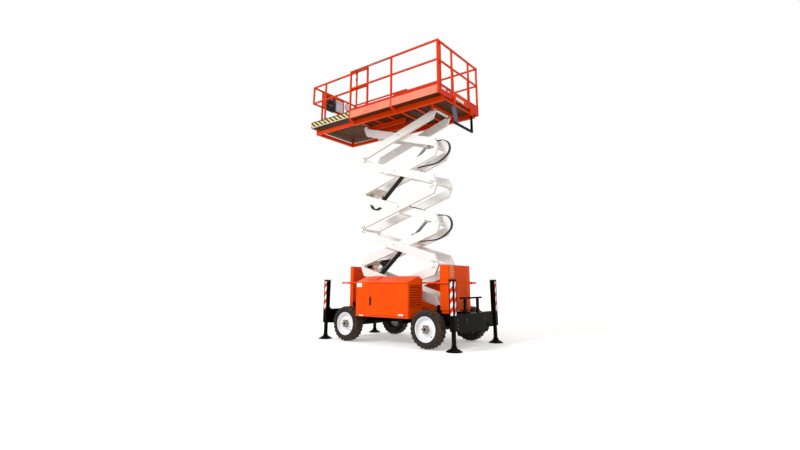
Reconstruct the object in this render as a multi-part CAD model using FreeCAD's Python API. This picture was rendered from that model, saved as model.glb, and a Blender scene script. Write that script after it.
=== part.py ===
import FreeCAD, Part
import math
import os

# Rough terrain scissor lift: five pairs of crossed arms between a wheeled chassis and a guarded platform.
# Millimetres. +Z up, +X towards the entry end, -Y the engine side. The origin lies on the ground,
# midway between the four outriggers. The lift is drawn part raised, as its joints stand at zero.

V = FreeCAD.Vector
os.makedirs("parts", exist_ok=True)

# Fits and gaps
turn_gap = 0.05             # between a pin and the eye that turns on it
side_gap = 0.5              # between two faces that turn past each other
slide_gap = 5.0             # between a moving member and what it passes
seat_gap = 0.4              # between a sliding member and the face that carries it
weld_gap = 0.2              # between members of one weldment that are drawn as separate tubes
plate = 10.0                # heavy plate
sheet = 5.0                 # folded sheet steel
over_cut = 1.0              # how far a cut runs past the face that it opens

# Wheels
wheelbase = 1920.0
wheels_forward = 46.0       # the wheels' midpoint from the outriggers' midpoint
tyre_radius = 330.0
tyre_width = 230.0
lug_height = 16.0
rim_radius = 205.0
hub_face_y = 880.0          # the outermost face of each hub from the centre line

# Chassis
outrigger_x = 1534.0
outrigger_y = 777.0
sleeve_size = 95.0
sleeve_wall = 8.0
sleeve_top = 1163.0
sleeve_bottom = 320.0
rail_y = 351.0              # centre of each chassis rail
rail_width = 70.0
rail_bottom = 385.0
rail_top = 575.0
end_beam_depth = 100.0
end_beam_bottom = 310.0
end_beam_top = 585.0

# Pods beside the arms
pod_left = -608.0
pod_right = 668.0
pod_face_y = 880.0
pod_back_y = 432.0
pod_bottom = 490.0
pod_shoulder = 1128.0
pod_ridge_y = 556.0
pod_ridge = 1238.0
pod_back_top = 1184.0
door_left = -265.0

# Arms
arm_span = 2088.0           # between the end pins of one arm
stage_rise = 788.0          # height gained by each pair as drawn
first_pivot_x = 906.0
first_pivot_z = 667.0
beam_depth = 170.0
beam_width = 60.0
pin_offset = 89.0           # end pins from the beam's middle line
pin_radius = 28.0
eye_radius = 46.0
lap_gap = 4.0               # between the two eyes on one pin
inner_plane = 181.0         # inner face of the inner arms from the centre line
plane_gap = 10.0            # between inner and outer arms
pairs = 5

# Platform
deck_left = -1025.0
deck_right = 1368.0
deck_half_width = 819.0
deck_under = 78.0           # underside of the deck above the top pivots
floor_thick = 22.0
toe_height = 224.0
mid_rail_up = 717.0         # mid rail's middle above the toe boards' lower edge
top_rail_up = 1138.0        # top rail's middle above the toe boards' lower edge
tube = 35.0                 # square tube of the guard rails
half_tube = tube / 2

# Sliding extension
extension_out = 1332.0      # how far it stands out as drawn
extension_inset = 69.0      # its edges from the deck's edges
extension_inside = 480.0    # how much of it still lies on the deck


def box(x, y, z):
    """Block between low and high values along each axis."""
    return Part.makeBox(x[1] - x[0], y[1] - y[0], z[1] - z[0], V(x[0], y[0], z[0]))


def rod(radius, start, end):
    """True round bar between two points, for pins."""
    return Part.makeCylinder(radius, (end - start).Length, start, end - start)


def prism(points, along):
    """Flat outline pushed along a vector."""
    return Part.Face(Part.makePolygon(points + [points[0]])).extrude(along)


flat_depth = 1.2            # how far the flats of a faceted round lie inside its circle


def ring(radius, centre, axis):
    """Corners of a faceted circle about an axis."""
    count = 2 * math.ceil(math.pi / 2 / math.acos(1 - flat_depth / radius))
    turn = FreeCAD.Rotation(V(0, 0, 1), axis)
    angles = [2 * math.pi * (k + 0.5) / count for k in range(count)]
    return [centre + turn.multVec(V(radius * math.cos(a), radius * math.sin(a), 0)) for a in angles]


def bar(radius, start, end):
    """Faceted round bar with its corners on the circle."""
    return prism(ring(radius, start, end - start), end - start)


def bore(radius, start, end):
    """Faceted hole with its flats on the circle, run past both ends."""
    along = (end - start).normalize() * over_cut
    clear = radius / math.cos(math.pi / len(ring(radius, start, along)))
    return bar(clear, start - along, end + along)


def faceted(outlines):
    """Solid closed by flat faces, each given by its corners."""
    solid = Part.makeSolid(Part.makeShell([Part.Face(Part.makePolygon(outline + [outline[0]]))
                                           for outline in outlines]))
    if solid.Volume < 0:
        solid.reverse()
    return solid


def taper(low_radius, high_radius, start, end):
    """Faceted cone between two points."""
    high = ring(high_radius, end, end - start)
    low = [start + (corner - end) * (low_radius / high_radius) for corner in high]
    sides = [[low[k - 1], low[k], high[k], high[k - 1]] for k in range(len(high))]
    return faceted([low, high] + sides)


def far(shape):
    """The same piece on the far side."""
    return shape.mirror(V(0, 0, 0), V(0, 1, 0))


def both(shape):
    return [shape, far(shape)]


def ends(shape):
    """The same piece at the other end."""
    return shape.mirror(V(0, 0, 0), V(1, 0, 0))


def save(node, shapes):
    Part.makeCompound(shapes).exportStep("parts/" + node + ".step")


def fused(shapes):
    """One solid with its split faces joined."""
    return shapes[0].multiFuse(shapes[1:]).removeSplitter()


# Arm geometry as drawn
pin_line_angle = math.asin(stage_rise / arm_span)
lap_angle = math.asin(2 * pin_offset / arm_span)
beam_angle = pin_line_angle - lap_angle
half_run = math.sqrt(arm_span ** 2 / 4 - pin_offset ** 2)
half_span = arm_span / 2 * math.cos(pin_line_angle)
scissor_x = first_pivot_x - half_span
outer_plane = inner_plane + beam_width + plane_gap
own_eye = (beam_width - lap_gap) / 2
stack_half = outer_plane + beam_width
top_pivot_z = first_pivot_z + pairs * stage_rise
half_depth = beam_depth / 2


def on_arm(pair, lean, along, across, y=0.0):
    """Point given along and across the beam of an arm. lean is 1 where the arm rises to +X, -1 to -X."""
    c = math.cos(beam_angle)
    s = math.sin(beam_angle)
    middle_z = first_pivot_z + (pair - 0.5) * stage_rise
    return V(scissor_x + lean * (along * c - across * s), y, middle_z + along * s + across * c)


# Beam of one arm: a deep bar with half-lapped eyes, one on its bottom edge and one on its top edge
end_over = 20.0             # beam past its pins
end_nose = 46.0             # height of the blunt end
end_bevel = 90.0            # where the bevel meets the far edge
lap_radius = eye_radius + 6.0


def beam(pair, lean, plane, turning):
    """turning lists the stations, along and across, where the beam turns on another piece's pin."""
    outline = [(-half_run - end_over, -half_depth), (-half_run - end_over, -half_depth + end_nose),
               (-half_run + end_bevel, half_depth)]
    outline += [(-along, -across) for along, across in outline]
    solid = prism([on_arm(pair, lean, along, across, plane) for along, across in outline],
                  V(0, beam_width, 0))
    through = V(0, beam_width, 0)
    eyes = [on_arm(pair, lean, side * half_run, side * pin_offset, plane) for side in (-1, 1)]
    solid = fused([solid] + [bar(eye_radius, eye, eye + through) for eye in eyes])
    laps = [(own_eye, beam_width + over_cut), (-over_cut, beam_width - own_eye)]
    for eye, (low, high) in zip(eyes, laps):
        solid = solid.cut(bar(lap_radius, eye + V(0, low, 0), eye + V(0, high, 0)))
    for along, across in turning:
        hole = on_arm(pair, lean, along, across, plane)
        solid = solid.cut(bore(pin_radius + turn_gap, hole, hole + through))
    return solid


lower_eye = (-half_run, -pin_offset)
upper_eye = (half_run, pin_offset)
centre_eye = (0.0, 0.0)
pin_end = 4.0               # centre pin past the outer arm


def cross_bar(pair, lean, station, reach, shape, radius):
    """Bar across the machine, joining the near and far beams of one arm."""
    return shape(radius, on_arm(pair, lean, *station, -reach), on_arm(pair, lean, *station, reach))


# Lift cylinders: stations along and across the beams that they push apart
base_station = (686.0, 20.0)
head_station = (-645.0, -72.0)
mount_radius = 32.0
lug_plate_y = 60.0          # inner faces of the plates beside a rod's head
lug_plate = 14.0
lug_plate_radius = 58.0
tube_station = (head_station[0], head_station[1] + lug_plate_radius - mount_radius)
cylinder_radius = 47.0
piston_radius = 30.0
cylinder_links = [("lower", 1, 3), ("upper", 3, 5)]

# Hose guide: a plate with a round edge that keeps the hoses' bend as the joint opens
guide_radius = 178.0
guide_half = 34.0
guide_spread = math.radians(72)
guide_steps = 16
guide_pairs = (2, 4)


def hose_guide(pair):
    angles = [beam_angle + guide_spread * (2 * k / guide_steps - 1) for k in range(guide_steps + 1)]
    pin = on_arm(pair, 1, *upper_eye, -guide_half)
    rim = [pin + V(guide_radius * math.cos(a), 0, guide_radius * math.sin(a)) for a in angles]
    plate_shape = prism([pin] + rim, V(0, 2 * guide_half, 0))
    return fused([plate_shape, bar(eye_radius, pin, pin + V(0, 2 * guide_half, 0))])


# Closing plate between the inner beams, where the hoses leave the left-hand joints
tray_run = (60.0, 340.0)    # from the lower pin
tray_thick = 8.0


def slab(pair, lean, along, across, half_width):
    """Block set across an arm, between low and high values along and across its beams."""
    corners = [(along[0], across[0]), (along[1], across[0]),
               (along[1], across[1]), (along[0], across[1])]
    return prism([on_arm(pair, lean, *corner, -half_width) for corner in corners],
                 V(0, 2 * half_width, 0))


# Hoses from a junction block on one arm, round the guide, to a block on the arm above
hose_radius = 10.0
hose_pitch = 22.0
hose_sides = 8
bend_step = math.radians(15)
block_length = 64.0
block_half = 40.0
block_depth = 50.0
square_run = 60.0           # how far a hose leaves its block square
strap_thick = 8.0
strap_width = 36.0
lower_block = (289.0, -55.0)    # a block's lower left corner, along and across its arm
upper_block = (-760.0, 30.0)
wrap_turn = (math.radians(-42), math.radians(68))     # the hoses' way round the guide
wrap_corners = 4


def junction(pair, lean, corner):
    """Hose block on a strap between the inner beams."""
    along, across = corner
    middle = along + block_length / 2
    strap = slab(pair, lean, (middle - strap_width / 2, middle + strap_width / 2),
                 (across - strap_thick, across), inner_plane + plate)
    return [strap, slab(pair, lean, (along, along + block_length), (across, across + block_depth), block_half)]


def hose_route(pair):
    """Corners of the hoses' way in the plane of the middle one, from the lower block to the upper."""
    pin = on_arm(pair, 1, *upper_eye)
    start, leave = [on_arm(pair, 1, lower_block[0] + block_length + away, lower_block[1] + block_depth / 2)
                    for away in (weld_gap, square_run)]
    end, arrive = [on_arm(pair + 1, -1, upper_block[0] - away, upper_block[1] + block_depth / 2)
                   for away in (weld_gap, square_run)]
    wrap = guide_radius + hose_radius + seat_gap
    step = (wrap_turn[1] - wrap_turn[0]) / (wrap_corners - 1)
    round_pin = [pin + V(math.cos(a), 0, math.sin(a)) * (wrap / math.cos(step / 2))
                 for a in [wrap_turn[0] + step * k for k in range(wrap_corners)]]
    hang = [pin + V(-300, 0, -302), pin + V(-80, 0, -275)]
    return [start, leave] + hang + round_pin + [arrive, end]


def hose(corners):
    """Faceted tube along straight runs joined by tangent arcs, in a plane of constant y."""
    line = [corners[0]]
    for before, corner, after in zip(corners[:-2], corners[1:-1], corners[2:]):
        back, on = before - corner, after - corner
        reach = 0.45 * min(back.Length, on.Length)
        turn = math.pi - back.getAngle(on)
        radius = reach / math.tan(turn / 2)
        middle = corner + (back.normalize() + on.normalize()).normalize() * (radius / math.cos(turn / 2))
        first = corner + back * reach - middle
        side = 1 if first.cross(on).y > 0 else -1
        steps = math.ceil(turn / bend_step)
        for k in range(steps + 1):
            swing = FreeCAD.Rotation(V(0, side, 0), math.degrees(turn * k / steps))
            line.append(middle + swing.multVec(first))
    line.append(corners[-1])
    rings = []
    for k, point in enumerate(line):
        into = (point - line[k - 1]).normalize() if k else None
        out = (line[k + 1] - point).normalize() if k < len(line) - 1 else None
        mean = ((into or out) + (out or into)).normalize()
        normal = mean.cross(V(0, 1, 0)) / mean.dot(into or out)
        angles = [2 * math.pi * (j + 0.5) / hose_sides for j in range(hose_sides)]
        rings.append([point + (normal * math.cos(a) + V(0, math.sin(a), 0)) * hose_radius for a in angles])
    walls = [[low[j - 1], low[j], high[j], high[j - 1]]
             for low, high in zip(rings[:-1], rings[1:]) for j in range(hose_sides)]
    return faceted([rings[0], rings[-1]] + walls)


for pair in guide_pairs:
    route = hose_route(pair)
    hoses = [hose([corner + V(0, row * hose_pitch, 0) for corner in route]) for row in (-1, 0, 1)]
    save("hoses_" + str(pair), hoses)

# Rollers at the left-hand ends
roller_radius = 40.0
roller_width = 26.0
roller_clear = 2.0          # from a roller's face to the side of its track
base_track_y = stack_half + 6.0
top_track_y = inner_plane - 7.0


def roller(station, pair, lean, plane, face):
    """Roller outside or inside the beam, on a pin through the beam's own eye."""
    out = 1 if face > plane else -1
    start = on_arm(pair, lean, *station, plane)
    back = on_arm(pair, lean, *station, face)
    return fused([bar(pin_radius, start, back), bar(roller_radius, back,
                                                    back + V(0, out * roller_width, 0))])


for pair in range(1, pairs + 1):
    inner_lean = -1 if pair % 2 else 1
    inner = both(beam(pair, inner_lean, inner_plane, [lower_eye]))
    centre = rod(pin_radius, on_arm(pair, inner_lean, *centre_eye, inner_plane),
                 on_arm(pair, inner_lean, *centre_eye, stack_half + pin_end))
    inner += both(centre)
    outer_turning = [centre_eye] if pair == 1 else [lower_eye, centre_eye]
    outer = both(beam(pair, -inner_lean, outer_plane, outer_turning))
    if pair < pairs:
        inner.append(cross_bar(pair, inner_lean, upper_eye, inner_plane + beam_width, rod, pin_radius))
        outer.append(cross_bar(pair, -inner_lean, upper_eye, stack_half, bar, pin_radius))
    else:
        inner += both(roller(upper_eye, pair, inner_lean, inner_plane + beam_width,
                             top_track_y - roller_clear))
        inner.append(cross_bar(pair, inner_lean, (half_run - 200.0, -15.0), inner_plane + plate, bar,
                               pin_radius))
        outer.append(cross_bar(pair, -inner_lean, upper_eye, stack_half, rod, pin_radius))
    if pair == 1:
        outer += both(roller(lower_eye, pair, -inner_lean, outer_plane, base_track_y + roller_clear))
    if pair in guide_pairs:
        inner.append(hose_guide(pair))
        inner.append(slab(pair, inner_lean, (tray_run[0] - half_run, tray_run[1] - half_run),
                          (-half_depth, tray_thick - half_depth), inner_plane + plate))
        inner += junction(pair, inner_lean, lower_block)
    if pair - 1 in guide_pairs:
        inner += junction(pair, inner_lean, upper_block)
    if pair in [link[1] for link in cylinder_links]:
        inner.append(cross_bar(pair, inner_lean, base_station, inner_plane + plate, rod, mount_radius))
    if pair in [link[2] for link in cylinder_links]:
        lug_in = on_arm(pair, inner_lean, *head_station, lug_plate_y)
        lug_out = on_arm(pair, inner_lean, *head_station, lug_plate_y + lug_plate)
        tube_start = on_arm(pair, inner_lean, *tube_station, lug_plate_y)
        tube_end = on_arm(pair, inner_lean, *tube_station, inner_plane + plate)
        inner += both(fused([bar(lug_plate_radius, lug_in, lug_out),
                             bar(mount_radius, tube_start, tube_end)]))
    save("inner_arm_" + str(pair), [fused(inner)])
    save("outer_arm_" + str(pair), [fused(outer)])

# Lift cylinders, from the lower mount to the upper
barrel_length = 1190.0
barrel_start = mount_radius + 8.0
gland_length = 70.0
gland_wall = 8.0
eye_half = 36.0             # half width of the eyes
base_wall = 27.0
closed_end = 107.0
rod_inward = 366.0          # how far the rod still goes in from its drawn place
head_wall = 14.0


def along_x(shape, radius, low, high):
    return shape(radius, V(low, 0, 0), V(high, 0, 0))


def across_x(shape, radius, x, half_length):
    return shape(radius, V(x, -half_length, 0), V(x, half_length, 0))


for name, low_pair, high_pair in cylinder_links:
    foot = on_arm(low_pair, -1, *base_station)
    head = on_arm(high_pair, -1, *head_station)
    reach = (head - foot).Length
    lie = FreeCAD.Placement(foot, FreeCAD.Rotation(V(1, 0, 0), head - foot))
    barrel = fused([across_x(bar, mount_radius + base_wall, 0, eye_half),
                    along_x(bar, cylinder_radius, barrel_start, barrel_length),
                    along_x(bar, cylinder_radius + gland_wall, barrel_length - gland_length,
                            barrel_length)])
    barrel = barrel.cut(across_x(bore, mount_radius + turn_gap, 0, cylinder_radius + gland_wall))
    barrel = barrel.cut(along_x(bore, piston_radius + turn_gap, closed_end, barrel_length))
    piston = fused([across_x(bar, mount_radius + head_wall, reach, eye_half),
                    across_x(bar, mount_radius, reach, lug_plate_y - seat_gap),
                    along_x(bar, piston_radius, closed_end + rod_inward, reach)])
    for node, shape in ((name + "_barrel", barrel), (name + "_rod", piston)):
        shape.Placement = lie
        save(node, [shape])

# Chassis rails with cross members
rail_in = rail_y - rail_width / 2
rail_out = rail_y + rail_width / 2
beam_overlap = 6.0          # end beams reach past the sleeves' middles by this much
beam_inner_x = outrigger_x - end_beam_depth + beam_overlap
beam_outer_x = beam_inner_x + end_beam_depth
rail_end = beam_outer_x - plate
member_depth = 80.0
member_inset = 120.0
narrow_member = 80.0
broad_member = 90.0
pivot_member = 130.0
cross_members = [(member_inset - rail_end, broad_member), (-420.0, narrow_member), (330.0, narrow_member),
                 (first_pivot_x, pivot_member), (rail_end - member_inset, broad_member)]
rails = both(box((-rail_end, rail_end), (rail_in, rail_out), (rail_bottom, rail_top)))
member_half = rail_in - weld_gap
for x, width in cross_members:
    rails.append(box((x - width / 2, x + width / 2), (-member_half, member_half),
                     (rail_top - member_depth, rail_top)))
save("chassis_rails", rails)

# End beams: channels open to the inside, arched in the middle, gusseted up to the outrigger sleeves
sleeve_in = outrigger_y - sleeve_size / 2
arch_rise = 75.0
arch_half = 560.0
arch_slope = 90.0
gusset_rise = 70.0
gusset_run = 90.0
half_face = [(arch_half - arch_slope, end_beam_bottom + arch_rise), (arch_half, end_beam_bottom),
             (sleeve_in, end_beam_bottom), (sleeve_in,
                                            end_beam_top + gusset_rise), (sleeve_in - gusset_run,
                                                                          end_beam_top)]
beam_face = half_face + [(-y, z) for y, z in reversed(half_face)]
web = prism([V(beam_outer_x - plate, y, z) for y, z in beam_face], V(plate, 0, 0))
flange_x = (beam_inner_x, beam_outer_x - plate)
top_flange = box(flange_x, (-sleeve_in, sleeve_in), (rail_top, end_beam_top))
low_flange = box(flange_x, (arch_half, sleeve_in), (end_beam_bottom, end_beam_bottom + plate))
end_beam = fused([web, top_flange] + both(low_flange))
save("end_beams", [end_beam, ends(end_beam)])

# Outrigger sleeves with cap plates, and the legs that slide in them
half_sleeve = sleeve_size / 2
bore_half = half_sleeve - sleeve_wall
leg_half = bore_half - seat_gap
cap_half = half_sleeve + 5.0
cap_thick = 8.0
blind_top = 40.0            # solid head of the sleeve
foot_radius = 140.0
foot_thick = 14.0
skirt_radius = 118.0
ankle_radius = 40.0
skirt_top = 95.0
leg_top = 900.0
corners = {(-1, -1): "left_near", (-1, 1): "left_far", (1, -1): "right_near", (1, 1): "right_far"}


def square(x, y, half_size, z):
    """Upright square bar about a corner's axis."""
    return box((x - half_size, x + half_size), (y - half_size, y + half_size), z)


sleeves = []
for (side, row), corner in corners.items():
    x = side * outrigger_x
    y = row * outrigger_y
    body = square(x, y, half_sleeve, (sleeve_bottom, sleeve_top))
    cap = square(x, y, cap_half, (sleeve_top, sleeve_top + cap_thick))
    sleeves.append(fused([body, cap]).cut(square(x, y, bore_half,
                                                 (sleeve_bottom - over_cut, sleeve_top - blind_top))))
    pad = bar(foot_radius, V(x, y, 0), V(x, y, foot_thick))
    skirt = taper(skirt_radius, ankle_radius, V(x, y, foot_thick), V(x, y, skirt_top))
    save("leg_" + corner, [fused([pad, skirt, square(x, y, leg_half, (skirt_top, leg_top))])])
save("outrigger_sleeves", sleeves)

# Wheels: rubber tyre with two rows of slanted lugs on a dished steel rim, both with the same flats
wheel_flats = 24
lug_slant = 27.0
lug_width = 24.0
lug_long = 104.0
lug_gap = 6.0               # between the two rows
half_tyre = tyre_width / 2
tread_radius = tyre_radius - lug_height
shoulder = 28.0
wall_low = 45.0             # where the side wall starts above the bead
wall_high = 42.0            # where it ends below the tread
bead_in = 32.0
bead_gap = 2.0
wheel_mid_y = hub_face_y - sheet - half_tyre
wheel_x = {side: wheels_forward + side * wheelbase / 2 for side in (-1, 1)}


def spun(points):
    """Body about the wheel's axle from a closed outline of (y, radius) points."""
    step = 2 * math.pi / wheel_flats
    rings = [[V(r * math.sin((k + 0.5) * step), y, r * math.cos((k + 0.5) * step)) for y, r in points]
             for k in range(wheel_flats)]
    return faceted([[here[i - 1], here[i], there[i], there[i - 1]]
                    for here, there in zip(rings[-1:] + rings[:-1], rings) for i in range(len(points))])


def make_tyre():
    side = [(half_tyre - shoulder, tread_radius), (half_tyre, tread_radius - wall_high),
            (half_tyre, rim_radius + wall_low), (half_tyre - bead_in, rim_radius + bead_gap)]
    body = spun(side + [(-y, r) for y, r in reversed(side)])
    low = tread_radius - plate
    top = math.sqrt(tyre_radius ** 2 - (lug_long / 2) ** 2 / 4)
    lugs = []
    for k in range(wheel_flats):
        row = 1 if k % 2 else -1
        middle = row * (lug_gap + lug_long) / 2
        lug = box((-lug_width / 2, lug_width / 2), (middle - lug_long / 2, middle + lug_long / 2),
                  (low, top))
        lug.rotate(V(0, middle, 0), V(0, 0, 1), row * lug_slant)
        lug.rotate(V(0, 0, 0), V(0, 1, 0), 360.0 / wheel_flats * k)
        lugs.append(lug)
    return fused([body] + lugs)


lip_radius = rim_radius + 11.0
lip_out = 18.0              # the lip's outer face from the tyre's side
lip_in = 25.0
rim_wall = 10.0
dish_in = 58.0
valley_in = 76.0
valley_radius = 118.0
crown_radius = 96.0
hub_bore = 50.0
disc_back = 84.0
lobe_high = 78.0
lobe_low = 58.0
lobe_count = 6
boss_radius = 34.0
boss_step = 14.0


def make_rim():
    inside = rim_radius - rim_wall
    section = [(lip_out - half_tyre, inside), (lip_out - half_tyre, lip_radius),
               (lip_in - half_tyre, rim_radius),
               (half_tyre - lip_in, rim_radius), (half_tyre - lip_in, lip_radius), (half_tyre - lip_out,
                                                                                    lip_radius),
               (half_tyre - lip_out, inside), (half_tyre - dish_in, inside), (half_tyre - valley_in,
                                                                              valley_radius),
               (half_tyre - dish_in, crown_radius), (half_tyre - dish_in,
                                                     hub_bore), (half_tyre - disc_back, hub_bore),
               (half_tyre - disc_back, inside)]
    disc = spun(section)
    back = half_tyre - disc_back
    face = hub_face_y - wheel_mid_y
    radii = [lobe_low, lobe_high] * lobe_count
    turns = [math.pi * k / lobe_count for k in range(2 * lobe_count)]
    star = [V(r * math.cos(a), back, r * math.sin(a)) for r, a in zip(radii, turns)]
    hub = prism(star, V(0, face - boss_step - back, 0))
    return fused([disc, hub, rod(boss_radius, V(0, face - boss_step, 0), V(0, face, 0))])


tyre = make_tyre()
rim = make_rim()
for (side, row), corner in corners.items():
    for part_name, shape in (("tyre_", tyre), ("rim_", rim)):
        piece = shape.copy() if row > 0 else far(shape)
        piece.translate(V(wheel_x[side], row * wheel_mid_y, tyre_radius))
        save(part_name + corner, [piece])

# Axles: a fixed one at the extension end, a steered one with knuckles at the entry end
axle_radius = 55.0
spindle_radius = 38.0
axle_z = tyre_radius
fixed_half = 600.0
spindle_end = wheel_mid_y + half_tyre - disc_back - side_gap
saddle_half = 60.0
saddle_low = axle_z + 20.0
steered_half = 560.0
kingpin_y = 665.0
kingpin_radius = 18.0
knuckle_radius = 48.0
knuckle_half = 55.0
yoke_thick = 26.0
yoke_out = kingpin_y + 34.0
yoke_in = 540.0
yoke_wall = 35.0
yoke_low = knuckle_half + slide_gap
fork_height = yoke_low + yoke_thick


def cross_axle(x, radius, half_length):
    return bar(radius, V(x, -half_length, axle_z), V(x, half_length, axle_z))


def upright(shape, radius, x, half_height):
    return shape(radius, V(x, kingpin_y, axle_z - half_height), V(x, kingpin_y, axle_z + half_height))


def saddles(x):
    return both(box((x - saddle_half, x + saddle_half), (rail_in, rail_out), (saddle_low, rail_bottom)))


fixed_x = wheel_x[-1]
steered_x = wheel_x[1]
fixed = fused([cross_axle(fixed_x, axle_radius, fixed_half),
               cross_axle(fixed_x, spindle_radius, spindle_end)] + saddles(fixed_x))
yoke_x = (steered_x - knuckle_radius, steered_x + knuckle_radius)
fork = [box(yoke_x, (yoke_in, yoke_out), (axle_z + yoke_low, axle_z + fork_height)),
        box(yoke_x, (yoke_in, yoke_out), (axle_z - fork_height, axle_z - yoke_low)),
        box(yoke_x, (yoke_in, yoke_in + yoke_wall), (axle_z - fork_height, axle_z + fork_height)),
        upright(rod, kingpin_radius, steered_x, fork_height)]
steered = fused([cross_axle(steered_x, axle_radius, steered_half)] + fork
                + [far(piece) for piece in fork] + saddles(steered_x))
save("axles", [fixed, steered])
stub = bar(spindle_radius, V(steered_x, kingpin_y, axle_z), V(steered_x, spindle_end, axle_z))
knuckle = fused([upright(bar, knuckle_radius, steered_x, knuckle_half), stub])
knuckle = knuckle.cut(upright(bore, kingpin_radius + turn_gap, steered_x, knuckle_half))
save("knuckle_near", [far(knuckle)])
save("knuckle_far", [knuckle])

# Trays that carry the pods, each on two arms from the chassis rail
tray_left = pod_left + 58.0
tray_right = pod_right - 48.0
tray_edge = pod_face_y - 20.0
tray_sheet = 12.0
tray_arms = (-400.0, 470.0)
tray_arm_half = 50.0
tray_arm_low = pod_bottom - 90.0
trays = [box((tray_left, tray_right), (pod_back_y, tray_edge), (pod_bottom - tray_sheet, pod_bottom))]
trays += [box((x - tray_arm_half, x + tray_arm_half), (rail_out, tray_edge),
              (tray_arm_low, pod_bottom - tray_sheet))
          for x in tray_arms]
save("pod_trays", both(fused(trays)))

# Pods: folded sheet housings with a hinged door in the outer face and a hatch in the sloping top
door_gap = 5.0
door_bottom = pod_bottom + 25.0
door_top = pod_shoulder - 22.0
door_right = pod_right - 8.0
louvre_count = 9
louvre_bottom = 675.0
louvre_top = 1070.0
louvre_y = (460.0, 840.0)
louvre_depth = 28.0
louvre_drop = 26.0
louvre_sheet = 4.0
louvre_face = pod_right - 1.0
hatch_x = (-420.0, -170.0)
hatch_y = (580.0, 770.0)
hatch_rise = 14.0


def slope_z(y):
    """Height of the pod's sloping top."""
    return pod_shoulder + (pod_face_y - y) * (pod_ridge - pod_shoulder) / (pod_face_y - pod_ridge_y)


def housing(louvred):
    """Housing on the +Y side."""
    profile = [(pod_face_y, pod_bottom), (pod_face_y, pod_shoulder), (pod_ridge_y, pod_ridge),
               (pod_back_y, pod_back_top),
               (pod_back_y, pod_bottom)]
    outer = prism([V(pod_left, y, z) for y, z in profile], V(pod_right - pod_left, 0, 0))
    shell = outer.cut(outer.makeOffsetShape(-sheet, 0.01, join=2))
    shell = shell.cut(box((door_left, door_right), (pod_face_y - sheet - over_cut,
                                                    pod_face_y + over_cut), (door_bottom, door_top)))
    lid = [(y, slope_z(y) + lift) for y, lift in ((hatch_y[0], 0), (hatch_y[1], 0),
                                                  (hatch_y[1], hatch_rise), (hatch_y[0], hatch_rise))]
    pieces = [shell, prism([V(hatch_x[0], y, z) for y, z in lid], V(hatch_x[1] - hatch_x[0], 0, 0))]
    if louvred:
        window = box((pod_right - sheet - over_cut, pod_right + over_cut), louvre_y,
                     (louvre_bottom, louvre_top))
        pieces[0] = shell.cut(window)
        pitch = (louvre_top - louvre_bottom) / louvre_count
        for k in range(louvre_count):
            z = louvre_bottom + pitch * (k + 0.5)
            slat = [(louvre_face - louvre_depth, z + louvre_drop / 2),
                    (louvre_face - louvre_sheet, z - louvre_drop / 2),
                    (louvre_face, z + louvre_sheet / 2 - louvre_drop / 2),
                    (louvre_face + louvre_sheet - louvre_depth, z + louvre_sheet / 2 + louvre_drop / 2)]
            start_y = louvre_y[0] - over_cut
            pieces.append(prism([V(px, start_y, pz) for px, pz in slat],
                                V(0, louvre_y[1] + over_cut - start_y, 0)))
        for y in (louvre_y[0] - louvre_sheet, louvre_y[1]):
            pieces.append(box((pod_right - louvre_depth - louvre_sheet, pod_right),
                              (y, y + louvre_sheet), (louvre_bottom, louvre_top)))
    return fused(pieces)


hinge_x = pod_right - 8.0
hinge_radius = 7.0
hinge_y = pod_face_y + hinge_radius + 2.0
hinge_height = 40.0
hinge_leaf = 50.0
hinge_low = door_bottom + 40.0
hinge_high = door_top - 80.0
lip_inset = 40.0
lip_height = 12.0
lip_depth = 18.0
lip_edge = 30.0
latch_x = (door_left + 14.0, door_left + 44.0)
latch_z = (760.0, 850.0)
latch_thick = 8.0


def door():
    """Door on the +Y side with its hinge barrels, stiffening lips and latch."""
    panel = box((door_left + door_gap, door_right - door_gap), (pod_face_y - sheet, pod_face_y),
                (door_bottom + door_gap, door_top - door_gap))
    pieces = [panel, box(latch_x, (pod_face_y, pod_face_y + latch_thick), latch_z)]
    for z in (door_bottom + lip_edge, door_top - lip_edge - lip_height):
        pieces.append(box((door_left + lip_inset, door_right - lip_inset),
                          (pod_face_y - lip_depth, pod_face_y - sheet), (z, z + lip_height)))
    for z in (hinge_low, hinge_high):
        pieces.append(rod(hinge_radius, V(hinge_x, hinge_y, z), V(hinge_x, hinge_y, z + hinge_height)))
        pieces.append(box((hinge_x - hinge_leaf, hinge_x), (pod_face_y, pod_face_y + sheet),
                          (z, z + hinge_height)))
    return fused(pieces)


save("engine_pod", [far(housing(True))])
save("service_pod", [housing(False)])
save("engine_door", [far(door())])
save("service_door", [door()])

# Engine and pump as one block on the tray
engine_x = (-120.0, 430.0)
engine_y = (500.0, 790.0)
engine_top = 980.0
save("engine_block", [far(box(engine_x, engine_y, (pod_bottom + sheet, engine_top)))])

# Guards over both ends of the folded arms, open towards the arms
guard_half = 392.0
cover_x = (1037.0, 1229.0)
cover_z = (630.0, 1437.0)
pan_x = (-1240.0, -1154.0)
pan_z = (656.0, 1455.0)
notch_half = 80.0
notch_x = 1125.0
foot_inset = 20.0
pan_foot_in = rail_out - 30.0
slot_x = (1085.0, 1150.0)
slot_low = 1230.0
slot_pitch = 30.0
slot_count = 5
slot_height = 8.0
inside_half = guard_half - sheet
cover = box(cover_x, (-guard_half, guard_half), cover_z)
cover = cover.cut(box((cover_x[0] - over_cut, cover_x[1] - sheet), (-inside_half, inside_half),
                      (cover_z[0] + sheet, cover_z[1] - sheet)))
cover = cover.cut(box((cover_x[0] - over_cut, notch_x), (-notch_half, notch_half),
                      (cover_z[1] - sheet - over_cut, cover_z[1] + over_cut)))
for k in range(slot_count):
    z = slot_low + k * slot_pitch
    cover = cover.cut(box(slot_x, (-guard_half - over_cut, -inside_half + over_cut),
                          (z, z + slot_height)))
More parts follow.
